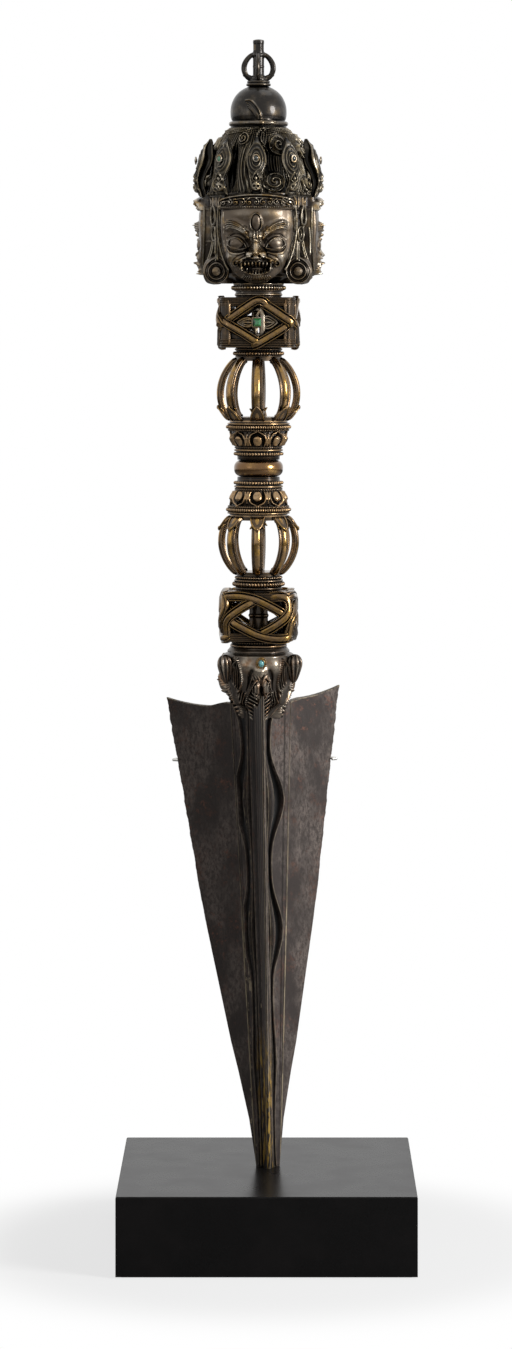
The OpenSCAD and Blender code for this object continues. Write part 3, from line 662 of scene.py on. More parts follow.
@dataclass(frozen=True)
class AgedBronze:
    """Lost-wax cast bronze under a dark patina, rubbed through to warm metal where hands and cloth reach it, with
    painted shade in its hollows and painted highlights on its crests.
    """

    name: str
    hollow: str
    body: str
    worn: str
    tint: str
    wear: float = 0.5
    roughness: float = 0.4
    worn_roughness: float = 0.26
    wax: float = 0.3
    reach: float = 2.0

    def build(self) -> bpy.types.Material:
        """Makes the material: dark patina in the hollows deepened by painted shade, brown body and bright rubbed edges
        that also carry painted highlights, with casting pits of 0.4 mm.

        Returns:
            The material.
        """
        material, add = new_material(self.name)
        rub = (add("Attribute", {"attribute_name": "rub"}), "Fac")
        high = add("MapRange", smooth(0.05, 0.9), {"Value": rub})
        low = add("MapRange", smooth(-0.05, -0.8), {"Value": rub})
        crest = add("MapRange", smooth(0.505, 0.58, 0.0, 0.8), {"Value": (add("NewGeometry"), "Pointiness")})
        # Ambient occlusion darkens hollows and joints and keeps wear out of them: painted shade over the patina
        open_air = add("AmbientOcclusion", {"samples": 8, "Distance": self.reach * MM})
        unshaded = add("MapRange", smooth(0.4, 0.94), {"Value": (open_air, "AO")})
        # Hands wear the crests bright, and patches of 5 mm elsewhere, and the pointiness step on the crests also paints
        # highlights on edges; grime keeps specks of 0.8 mm dark
        patches = Mottle(5.0, 6.0, 0.6).patches(add, 0.45, 0.75, 0.0, self.wear)
        worn_and_highlit = add("Math", HIGHER, {0: add("Math", HIGHER, {0: crest, 1: high}), 1: patches})
        specks = Mottle(0.8, 4.0, 0.65).patches(add, 0.25, 0.55, 0.35, 1.0)
        rubbed = add("Math", TIMES, {0: add("Math", TIMES, {0: worn_and_highlit, 1: unshaded}), 1: specks})
        warm = {"Factor": Mottle(3.5, 5.0).patches(add, 0.4, 0.62)}
        metal = add("Mix", between(self.worn, self.tint), warm)
        # Painted shade takes occluded places to the hollow colour, and low relief takes it there too as patina
        dark = add("Mix", between(self.hollow, self.body), {"Factor": unshaded})
        dark = add("Mix", {**COLOUR, 7: srgb(self.hollow)}, {"Factor": low, 6: dark})
        colour = add("Mix", COLOUR, {"Factor": rubbed, 6: dark, 7: metal})
        # The patina scatters light more than the rubbed metal does
        rough = add("MapRange", smooth(0.0, 1.0, self.roughness, self.worn_roughness), {"Value": rubbed})
        bump = add("Bump", {"Strength": 0.25, "Distance": 0.06 * MM}, {"Height": Mottle(0.4, 4.0, 0.65).made(add)})
        # A thin coat of wax gives the white glints
        fixed = {"Metallic": 1.0, "Coat Weight": self.wax, "Coat Roughness": 0.12}
        surface = add("BsdfPrincipled", fixed, {"Base Color": colour, "Roughness": rough, "Normal": bump})
        add("OutputMaterial", {}, {"Surface": surface})
        return material


@dataclass(frozen=True)
class ForgedIron:
    """Hand-forged iron, filed lengthwise and aged to a brown-grey oxide, with rust and traces of brass near the tip."""

    name: str
    dark: str
    light: str
    rust: str
    edge: str
    brass: str
    soot: str
    rust_spot: str = "#724d3e"
    # Painted shade for the hollows, and painted black shadow for the deepest grooves
    shade: str = "#0b0908"
    groove: str = "#050404"

    def skin(self, add: Adder, clouds: Node) -> Node:
        """Adds the oxide skin: clouds of 12 mm, grain of 1.1 mm, rust blooms, rust spots and sooty specks.

        Args:
            add: adds a node to the material.
            clouds: the cloudy noise.

        Returns:
            The node that gives its colour.
        """
        light = add("MapRange", smooth(0.38, 0.62), {"Value": clouds})
        body = add("Mix", between(self.dark, self.light), {"Factor": light})
        grain = Mottle(1.1, 6.0, 0.8, (1, 1, 0.55)).patches(add, 0.36, 0.66)
        bloom = (Mottle(9.0, 8.0, 0.75).patches(add, 0.47, 0.66), Mottle(1.3, 6.0, 0.8).patches(add, 0.4, 0.6))
        spots = (Mottle(2.4, 8.0, 0.8).patches(add, 0.53, 0.62), Mottle(22.0, 3.0).patches(add, 0.46, 0.6))
        specks = (Mottle(0.7, 4.0, 0.7).patches(add, 0.6, 0.68), Mottle(14.0, 4.0).patches(add, 0.4, 0.6))
        layers = ((grain, 0.9, self.dark), (bloom, 0.6, self.rust), (spots, 0.7, self.rust_spot),
            (specks, 0.6, self.soot))
        for mask, most, colour in layers:
            if isinstance(mask, tuple):
                mask = add("Math", TIMES, {0: mask[0], 1: mask[1]})
            share = add("MapRange", smooth(0.0, 1.0, 0.0, most), {"Value": mask})
            body = add("Mix", {**COLOUR, 7: srgb(colour)}, {"Factor": share, 6: body})
        return body

    def brass_streaks(self, add: Adder) -> Node:
        """Adds the brass rubbed into the serpents and the front ridge, in streaks over the lowest 45 mm.

        Args:
            add: adds a node to the material.

        Returns:
            The node that gives its share.
        """
        axes = add("SeparateXYZ", {}, {0: (add("TexCoord"), "Object")})
        low = add("MapRange", smooth(0.082, 0.06), {"Value": (axes, "Z")})
        left = add("MapRange", smooth(-0.0045, -0.0025), {"Value": (axes, "X")})
        right = add("MapRange", smooth(0.0085, 0.0065), {"Value": (axes, "X")})
        forward = add("MapRange", smooth(-0.0015, -0.003), {"Value": (axes, "Y")})
        share = Mottle(1.6, 4.0, 0.6, (1.8, 1.8, 0.16)).patches(add, 0.49, 0.56)
        for bound in (low, left, right, forward):
            share = add("Math", TIMES, {0: share, 1: bound})
        return share

    def build(self) -> bpy.types.Material:
        """Makes the material: cloudy oxide, file marks 0.5 mm apart, rust patches of 5 mm, rubbed ridge lines that also
        carry painted highlights, painted shade in the hollows and black painted shadow in the grooves.

        Returns:
            The material.
        """
        material, add = new_material(self.name)
        clouds = Mottle(12.0, 7.0, 0.6, (1, 1, 0.6)).made(add)
        body = self.skin(add, clouds)
        # Soot and old oil sit in the carving, darkened further there as painted shade, and its lines are rubbed to a
        # pale brown that also paints highlights on edges
        rub = (add("Attribute", {"attribute_name": "rub"}), "Fac")
        sooty = add("MapRange", smooth(-0.1, -0.6, 0.0, 0.8), {"Value": rub})
        body = add("Mix", {**COLOUR, 7: srgb(self.soot)}, {"Factor": sooty, 6: body})
        lines = add("MapRange", smooth(0.15, 0.9), {"Value": rub})
        lines = add("Math", TIMES, {0: lines, 1: Mottle(1.6, 4.0, 0.65, (1, 1, 0.3)).patches(add, 0.3, 0.6, 0.3, 1.0)})
        crest = add("MapRange", smooth(0.53, 0.6), {"Value": (add("NewGeometry"), "Pointiness")})
        crest = add("Math", TIMES, {0: crest, 1: Mottle(2.2, 5.0, 0.65).patches(add, 0.36, 0.62)})
        edges = add("MapRange", smooth(0.0, 1.0, 0.0, 0.8), {"Value": add("Math", HIGHER, {0: crest, 1: lines})})
        body = add("Mix", {**COLOUR, 7: srgb(self.edge)}, {"Factor": edges, 6: body})
        body = add("Mix", {**COLOUR, 7: srgb(self.brass)}, {"Factor": self.brass_streaks(add), 6: body})
        # Ambient occlusion darkens the hollows toward the shade colour: painted shade
        open_air = add("AmbientOcclusion", {"samples": 8, "Distance": 2.6 * MM})
        unshaded = add("MapRange", smooth(0.22, 0.72), {"Value": (open_air, "AO")})
        shaded = add("Mix", {**COLOUR, 6: srgb(self.shade)}, {"Factor": unshaded, 7: body})
        # The deepest carving is painted near black as the grooves' shadow
        groove_shadow = add("MapRange", smooth(-0.7, -0.95), {"Value": rub})
        colour = add("Mix", {**COLOUR, 7: srgb(self.groove)}, {"Factor": groove_shadow, 6: shaded})
        marks, pits = Mottle(0.5, 3.0, stretch=(1, 1, 0.06)).made(add), Mottle(0.8, 5.0, 0.75).made(add)
        height = add("Math", {"operation": "ADD"}, {0: marks, 1: pits})
        bump = add("Bump", {"Strength": 0.5, "Distance": 0.16 * MM}, {"Height": height})
        rough = add("MapRange", smooth(0.3, 0.7, 0.5, 0.64), {"Value": clouds})
        # The oxide skin is not a metal itself: it scatters light and mirrors little
        fixed = {"Metallic": 0.12, "Specular IOR Level": 0.25}
        surface = add("BsdfPrincipled", fixed, {"Base Color": colour, "Roughness": rough, "Normal": bump})
        add("OutputMaterial", {}, {"Surface": surface})
        return material


@dataclass(frozen=True)
class BlackLacquer:
    """Satin black lacquer sprayed over wood: nearly black face on, a soft grey sheen at a low angle."""

    name: str
    colour: str
    handled: str
    roughness: float

    def build(self) -> bpy.types.Material:
        """Makes the material with faint handling marks of 15 mm and an orange-peel ripple of 1.2 mm.

        Returns:
            The material.
        """
        material, add = new_material(self.name)
        marks = Mottle(15.0, 5.0).made(add)
        share = add("MapRange", smooth(0.4, 0.7), {"Value": marks})
        tint = add("Mix", between(self.colour, self.handled), {"Factor": share})
        rough = add("MapRange", smooth(0.35, 0.7, self.roughness - 0.01, self.roughness + 0.02), {"Value": marks})
        bump = add("Bump", {"Strength": 0.06, "Distance": 0.03 * MM}, {"Height": Mottle(1.2, 3.0).made(add)})
        fixed = {"IOR": 1.5, "Specular IOR Level": 0.11}
        surface = add("BsdfPrincipled", fixed, {"Base Color": tint, "Roughness": rough, "Normal": bump})
        add("OutputMaterial", {}, {"Surface": surface})
        return material


@dataclass(frozen=True)
class WoolFelt:
    """Pressed black wool felt: soft, with no shine."""

    name: str
    colour: str
    fibre: str

    def build(self) -> bpy.types.Material:
        """Makes the material with matted fibres of 0.6 mm.

        Returns:
            The material.
        """
        material, add = new_material(self.name)
        fibres = Mottle(0.6, 6.0, 0.7).made(add)
        tint = add("Mix", between(self.colour, self.fibre), {"Factor": fibres})
        bump = add("Bump", {"Strength": 0.8, "Distance": 0.2 * MM}, {"Height": fibres})
        fixed = {"Roughness": 0.95, "Sheen Weight": 0.3}
        surface = add("BsdfPrincipled", fixed, {"Base Color": tint, "Normal": bump})
        add("OutputMaterial", {}, {"Surface": surface})
        return material


@dataclass(frozen=True)
class DrawnSteel:
    """Bright drawn steel wire and rod with fine die marks, which break up its glints."""

    name: str
    colour: str
    bright: str
    roughness: float

    def build(self) -> bpy.types.Material:
        """Makes the material with drawing marks 0.3 mm apart.

        Returns:
            The material.
        """
        material, add = new_material(self.name)
        marks = Mottle(0.3, 4.0).made(add)
        tint = add("Mix", between(self.colour, self.bright), {"Factor": marks})
        rough = add("MapRange", smooth(0.3, 0.7, self.roughness - 0.05, self.roughness + 0.08), {"Value": marks})
        surface = add("BsdfPrincipled", {"Metallic": 1.0}, {"Base Color": tint, "Roughness": rough})
        add("OutputMaterial", {}, {"Surface": surface})
        return material


@dataclass(frozen=True)
class PolishedStone:
    """Opaque polished cabochon stone with veins: an even colour under one sharp highlight."""

    name: str
    colour: str
    vein: str
    roughness: float = 0.12
    ior: float = 1.6

    def build(self) -> bpy.types.Material:
        """Makes the material with veins about 1 mm apart.

        Returns:
            The material.
        """
        material, add = new_material(self.name)
        veins = Mottle(1.0, 5.0, 0.6).made(add)
        share = add("MapRange", smooth(0.52, 0.66), {"Value": veins})
        tint = add("Mix", between(self.colour, self.vein), {"Factor": share})
        bump = add("Bump", {"Strength": 0.1, "Distance": 0.02 * MM}, {"Height": veins})
        fixed = {"Roughness": self.roughness, "IOR": self.ior, "Coat Weight": 0.5, "Coat Roughness": 0.05}
        surface = add("BsdfPrincipled", fixed, {"Base Color": tint, "Normal": bump})
        add("OutputMaterial", {}, {"Surface": surface})
        return material


# Cast bronze of the hilt's frames: brown-black with dull rubbed edges that also carry painted highlights
HILT = AgedBronze("hilt_bronze", "#0a0806", "#352c22", "#7a6751", "#8a6c48", 0.35, 0.36, 0.22)
# The same cast with more brass, kept bright by handling: golden crests, which also carry painted highlights, over black
# joints
GILT = AgedBronze("golden_bronze", "#0c0805", "#35271a", "#92744c", "#a8823c", 0.55, 0.28, 0.17, 0.45)
# Carved petals: bright outlines against sooty grounds that painted shade darkens further
LOTUS = AgedBronze("lotus_bronze", "#090604", "#30261c", "#9f8463", "#a5845a", 0.15, 0.34, 0.2, 0.3, 1.2)
# The bead that the hand wears smooth: an even gold brown with a broad highlight
BEAD = AgedBronze("worn_bronze", "#2a1a0d", "#6c4e2d", "#a07c48", "#b58f4e", 0.75, 0.22, 0.13, 0.5)
# Burnished faces: paler, greyer and softer in their shine than the hilt
FACE = AgedBronze("head_bronze", "#17120f", "#564b3f", "#b3a999", "#957a4e", 0.5, 0.4, 0.25, 0.3)
# Hair and leaves: nearly black in the combed grooves, with dull olive crests
HAIR = AgedBronze("hair_bronze", "#060504", "#2a251d", "#9b9180", "#7d6f54", 0.25, 0.36, 0.26, 0.25)
# The turned dome: smooth, dark and grey
DOME = AgedBronze("dome_bronze", "#0c0b0a", "#25221f", "#6a635a", "#6b5c45", 0.55, 0.36, 0.22)
# The makara: grey brown, with its carved lines picked out
MAKARA = AgedBronze("makara_bronze", "#120e0c", "#4b433b", "#958a7b", "#7b5f46", 0.4, 0.4, 0.27, 0.3)
# The blade: matt brown-grey iron that drinks the light, with pale ridge lines that carry painted highlights and grooves
# painted black as shadow
IRON = ForgedIron("forged_iron", "#332c29", "#6b615b", "#5c3f33", "#a89a80", "#b5934a", "#17130f")
# The plinth: a black that only greys where the lamps graze it
LACQUER = BlackLacquer("black_lacquer", "#0c0b0b", "#110f0f", 0.28)
# The pad under it: a dull black line
FELT = WoolFelt("felt", "#121212", "#2b2b2b")
# The prongs: small bright hooks against the dark iron
WIRE = DrawnSteel("steel_wire", "#b9b7b2", "#e2e0dc", 0.28)
# The rod: greyer, so that it stays back behind the blade
ROD = DrawnSteel("steel_rod", "#7e7c78", "#e2e0dc", 0.35)
# The brow stones: the only pale blue, veined and with one white highlight
TURQUOISE = PolishedStone("turquoise", "#63aeb0", "#2b4a46", 0.18)
# The square stones of the upper knot: a clear dark green
GREEN = PolishedStone("green_stone", "#1f7a42", "#0f4a2b")
# The stones on the crown leaves: nearly black, seen by their highlight
DARK_STONE = PolishedStone("dark_stone", "#232a22", "#101510")
# The one leaf stone that shines pale green
PALE_STONE = PolishedStone("pale_green_stone", "#7cc79a", "#2f7a55")

FINISHES: dict[str, bpy.types.Material] = {}


def finish(kind: Finish) -> bpy.types.Material:
    """Gives the material of a finish, made once.

    Args:
        kind: the finish.

    Returns:
        Its material.
    """
    if kind.name not in FINISHES:
        FINISHES[kind.name] = kind.build()
    return FINISHES[kind.name]


def place(form: Form, name: str, kind: Finish, slot: Slot, node: str | None = None, sharp: float = 0.0) -> None:
    """Turns a form to an object that rides with the dagger.

    Args:
        form: the form.
        name: the piece's name.
        kind: its finish.
        slot: the record's material slot; not used.
        node: CAD node that it stands for, or none.
        sharp: angle in degrees above which an edge stays sharp, or 0 for none.
    """
    mesh = form.mesh(name)
    if sharp:
        mesh.set_sharp_from_angle(angle=math.radians(sharp))
    mesh.materials.append(finish(kind))
    piece = bpy.data.objects.new(name, mesh)
    bpy.context.scene.collection.objects.link(piece)
    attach(piece, "phurba")
    if node:
        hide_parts(node)
    LOG.info("%s: %d points", name, len(mesh.vertices))


def dress(node: str, kind: Finish) -> None:
    """Gives a CAD node that stays its finish.

    Args:
        node: the node.
        kind: its finish.
    """
    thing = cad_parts[node]
    for slot in thing.material_slots:
        slot.material = finish(kind)
    if not thing.material_slots:
        thing.data.materials.append(finish(kind))
    LOG.info("%s: CAD node dressed", node)


def sector(columns: int, rows: int, z0: float, z1: float) -> tuple[Array, Array]:
    """Grid over one of the three faces.

    Args:
        columns: points across it.
        rows: points up it.
        z0: its foot.
        z1: its top.

    Returns:
        Degrees from the face's middle, and heights.
    """
    z, d = np.meshgrid(np.linspace(z0, z1, rows), np.linspace(-60, 60, columns, endpoint=False), indexing="ij")
    return d, z


def ring_of_faces(d: Array, z: Array, r: Array, turn: float, lift: float) -> Array:
    """Sets one face's radii three times round the hilt.

    Args:
        d: degrees from the face's middle.
        z: heights.
        r: radii.
        turn: turn of the whole in degrees.
        lift: height of z = 0.

    Returns:
        Grid of points.
    """
    return np.concatenate([around(r, np.radians(FRONT + turn + step + d), z + lift) for step in THREE], axis=1)


# The blade


@dataclass
class Blade:
    """Three-finned iron blade with a serpent carved along each valley."""

    foot: float = 27.9
    height: float = 164.2
    tip_radius: float = 4.6
    corner_radius: float = 35.7
    edge_half: tuple[float, float] = (0.55, 0.72)
    ridge_half: tuple[float, float] = (1.35, 2.2)
    valley: tuple[float, float] = (2.9, 4.6)
    ridges: tuple[tuple[float, float], ...] = ((3.9, 11.4), (4.1, 13.3), (3.9, 8.9))
    coil_top: float = 129.6
    coil_pitch: float = 46.2
    rings: int = 330

    def outline(self, share: Array) -> Array:
        """Radius of a fin's edge at each share of the height."""
        table = np.interp(share, [0, 0.1, 0.2, 0.263, 0.576, 0.8, 1], [0, 0.077, 0.196, 0.28, 0.62, 0.812, 1])
        return self.tip_radius + (self.corner_radius - self.tip_radius) * table

    def axis_x(self, share: Array) -> Array:
        """How far the leaning blade's axis stands from the hilt's at each share of the height."""
        return -0.9 + (1 - share) * self.height * math.tan(math.radians(1.5))

    def coil(self, share: Array) -> Array:
        """Swelling of the serpent: 1 mid-coil, 0 where two coils meet, and little in the straight tail."""
        waves = (0.5 + 0.5 * np.cos(2 * np.pi * (share * self.height - self.coil_top) / self.coil_pitch)) ** 1.5
        return waves * np.clip((share - 0.3) / 0.15, 0.3, 1)

    def half_section(self, share: float, k: int, near: bool) -> Array:
        """One side of fin k, from the cutting edge to the middle of the valley.

        Args:
            share: share of the height, 0 at the tip.
            k: number of the fin.
            near: whether it is the side that faces the next fin counter-clockwise.

        Returns:
            Points outward along the fin and across it in mm, and how rubbed each is, with painted shade in the grooves
            and painted highlights on the lips and contours.
        """
        def mix(pair: Sequence[float]) -> float:
            """Value between the one at the tip and the one at the shoulder."""
            return pair[0] + (pair[1] - pair[0]) * share

        r = float(self.outline(np.array(share)))
        e, h, s, v = mix(self.edge_half), mix(self.ridge_half), min(mix(self.ridges[k]), r * 0.93), mix(self.valley)
        if k == 0:
            # The front fin is slimmer at its root than the other two
            h *= 0.58
        if (k == 0 and near) or (k == 1 and not near):
            # The right valley is cut deeper, so its serpent lies close to the front fin
            v *= 0.72
        flank_p = np.concatenate([[r], np.linspace(r - 0.28, s, 30)])
        flank_q = e + (h - e) * (r - flank_p) / max(r - s, 1e-3)
        flank_q[0] = e * 0.35
        crest = np.exp(-((flank_p - s - 0.25) / 0.34) ** 2)
        flank_q += 0.26 * crest * min(1, share * 6)
        flank_rub_and_shade = crest
        if k == 0:
            # Fine lines run down each side of the front fin
            part = (flank_p - s) / max(r - s, 1e-3)
            waves = np.cos(2 * np.pi * part * 2.6)
            incised = np.exp(-((waves + 1) / 0.5) ** 2)
            flank_q -= 0.3 * incised * min(1, 5 * share)
            flank_rub_and_shade = 0.5 * waves - 0.15 - 0.9 * incised
            flank_rub_and_shade[:3] = [-0.7, 0.9, 0.9]
        # The wall from the ridge down to the valley floor, with the groove and the serpent's back
        floor = np.array([v * 0.5, v * math.sqrt(0.75)])
        ridge = np.array([s, h])
        length = float(np.linalg.norm(ridge - floor))
        along = (ridge - floor) / length
        outward = np.array([-along[1], along[0]])
        outward *= np.sign(outward @ np.array([0.5, 0.87]))
        swell = float(self.coil(np.array(share)))
        back = 0.12 + (1.45 + 2.35 * share) * swell
        if k == 2 and near:
            # The left serpent lies closer to the front fin than the right one
            back *= 0.52
        width = (1.4 + 2.7 * swell) * (0.35 + 0.8 * share) * (1.3 if k == 2 and near else 1)
        depth = (1.3 + 1.4 * swell) * (0.45 + 0.55 * share)
        if k == 0:
            # Beside the front fin the serpents run straight down a narrow groove
            back, width, depth = 0.5 + 0.8 * share, 1.0 + 1.1 * share, 1.0 + 0.9 * share
        back = min(back, length * 0.5)
        if share > 0.9:
            width *= 1 + 4 * (share - 0.9)
            back += 9 * (share - 0.9) ** 1.3
        lip = min(0.8, 0.16 * length)
        width = min(width, length * 0.94 - back - lip)
        lip_end = back + width + lip
        tau = lip_end + (length - lip_end) * np.linspace(1, 0, 18, endpoint=False)
        part_a = floor + tau[:, None] * along
        rub_and_shade_a = np.full(18, -0.5 if k == 0 else -0.12)
        # Incised lines run along the wall, and their colour is darkened as painted shade
        lines = (0.86, 0.7) if k == 0 else (0.8,)
        for where in lines:
            line = np.exp(-((tau / length - where) / 0.035) ** 2)
            part_a = part_a - (line * (0.4 if k == 0 else 0.2) * min(1, 5 * share))[:, None] * outward
            rub_and_shade_a = rub_and_shade_a - 0.5 * line
        # The lip's outer point and its rounded crown are painted bright as a highlight line along the groove
        rub_and_shade_a[0] = 0.6
        t = np.linspace(1, 0, 7, endpoint=False)
        tau = back + width + lip * t
        crown = np.sin(np.pi * np.clip(t, 0, 1)) ** 0.8
        part_b = floor + tau[:, None] * along + (0.34 * crown)[:, None] * outward
        rub_and_shade_b = crown * 0.75 - 0.2
        t = np.linspace(1, 0, 12, endpoint=False)
        tau = back + width * t
        hollow = np.sin(np.pi * t) ** 0.4
        part_c = floor + tau[:, None] * along - (depth * hollow)[:, None] * outward
        # The groove's hollow is painted black as its shadow
        rub_and_shade_c = 0.1 - 1.5 * hollow
        # The serpent's back is a fat rounded body with fine lines along it; its colour is kept dark, with painted
        # highlights along its outer contour and beside each fine line
        t = np.linspace(1, 0, 30)
        centre = np.array([0.5, math.sqrt(0.75)])
        edge = floor + back * along - 0.1 * outward
        half = float(edge @ np.array([math.sqrt(0.75), -0.5]))
        rise = float(edge @ centre)
        top = max(v + 0.35 + 2.0 * swell * (0.5 + 0.5 * share), rise + 0.2)
        bow = rise + (top - rise) * np.sqrt(np.clip(1 - (t * 0.985) ** 2, 0, 1))
        rub_and_shade_d = 1.1 * np.exp(-((t - 0.9) / 0.1) ** 2) - 0.75
        for where in (0.22, 0.46, 0.68):
            line = np.exp(-((t - where) / 0.055) ** 2)
            bow -= 0.2 * line * min(1, 3 * swell)
            rub_and_shade_d = rub_and_shade_d - 0.35 * line + 1.3 * np.exp(-((t - where - 0.11) / 0.05) ** 2)
        part_d = bow[:, None] * centre + (half * t)[:, None] * np.array([math.sqrt(0.75), -0.5])
        points = np.vstack([np.stack([flank_p, flank_q], -1), part_a, part_b, part_c, part_d])
        return np.column_stack([points, np.concatenate([flank_rub_and_shade, rub_and_shade_a, rub_and_shade_b, rub_and_shade_c, rub_and_shade_d])])

    def build(self) -> None:
        """Makes the blade."""
        shares = np.linspace(0, 1, self.rings)
        rows = []
        for share in shares:
            ring = []
            for k in range(3):
                a = math.radians(FRONT + BLADE_TURN + k * FACE_STEP)
                near = self.half_section(share, k, True)
                far = self.half_section(share, (k + 1) % 3, False)[:-1]
                b = a + math.radians(FACE_STEP)
                one = np.stack([*rotated(near[:, 0], near[:, 1], a), near[:, 0], near[:, 2]], -1)
                two = np.stack([*rotated(far[:, 0], -far[:, 1], b), far[:, 0], far[:, 2]], -1)[::-1]
                fin = [np.full(len(one), k), np.full(len(two), (k + 1) % 3)]
                ring.append(np.column_stack([np.vstack([one, two]), np.concatenate(fin)]))
            rows.append(np.vstack(ring))
        data = np.asarray(rows)
        share = shares[:, None]
        reach, rub, fin = data[..., 2], data[..., 3], data[..., 4].astype(int)
        rim = np.clip((reach - 12.8) / (self.corner_radius - 12.8), 0, 1)
        tilt = np.array([0, 1.2, -1.2])[fin] * np.minimum(1, 4 * rim)
        horn = np.where(fin == 0, 5.8, 2.9) * rim ** 2 - 1.8 * rim * (1 - rim) + tilt
        x = data[..., 0] + HILT_X + self.axis_x(share)
        z = share * (self.height + horn + rim * data[..., 0] * math.sin(math.radians(1.5)))
        points = np.stack([x, data[..., 1], self.foot + z], -1)
        # Hammered flats and slightly nicked edges
        centre = np.stack([HILT_X + self.axis_x(share) + 0 * reach, 0 * reach, points[..., 2]], -1)
        away = points - centre
        upright = points * [0, 0, 1.0]
        nicks = 0.006 * ripple(upright, 5.0, 3) + 0.004 * ripple(upright, 1.9, 4)
        nick = 1 + nicks * np.clip((reach - 18) / 10, 0, 1)
        points[..., :2] = centre[..., :2] + away[..., :2] * nick[..., None]
        points[..., 1] += 0.16 * ripple(points, 22.0, 7) * np.clip((reach - 11) / 8, 0, 1)
        form = Form()
        form.grid(points, wrap=True, caps=False, rub=rub)
        cols = points.shape[1]
        tip = points[0].mean(0)
        form.add(np.vstack([points[0], tip[None]]), [[(j + 1) % cols, j, cols] for j in range(cols)])
        # Strips across each fin close its top, from the edge in along the 31 points of either flank
        strips = []
        for first in range(0, cols, cols // 3):
            for a in range(first, first + 30):
                b = (2 * first - 1 - a) % cols
                strips.append([a, a + 1, (b - 1) % cols, b])
        form.add(points[-1], strips)
        place(form, "forged_blade", IRON, Slot.IRON, "blade", sharp=32)


# The makara head


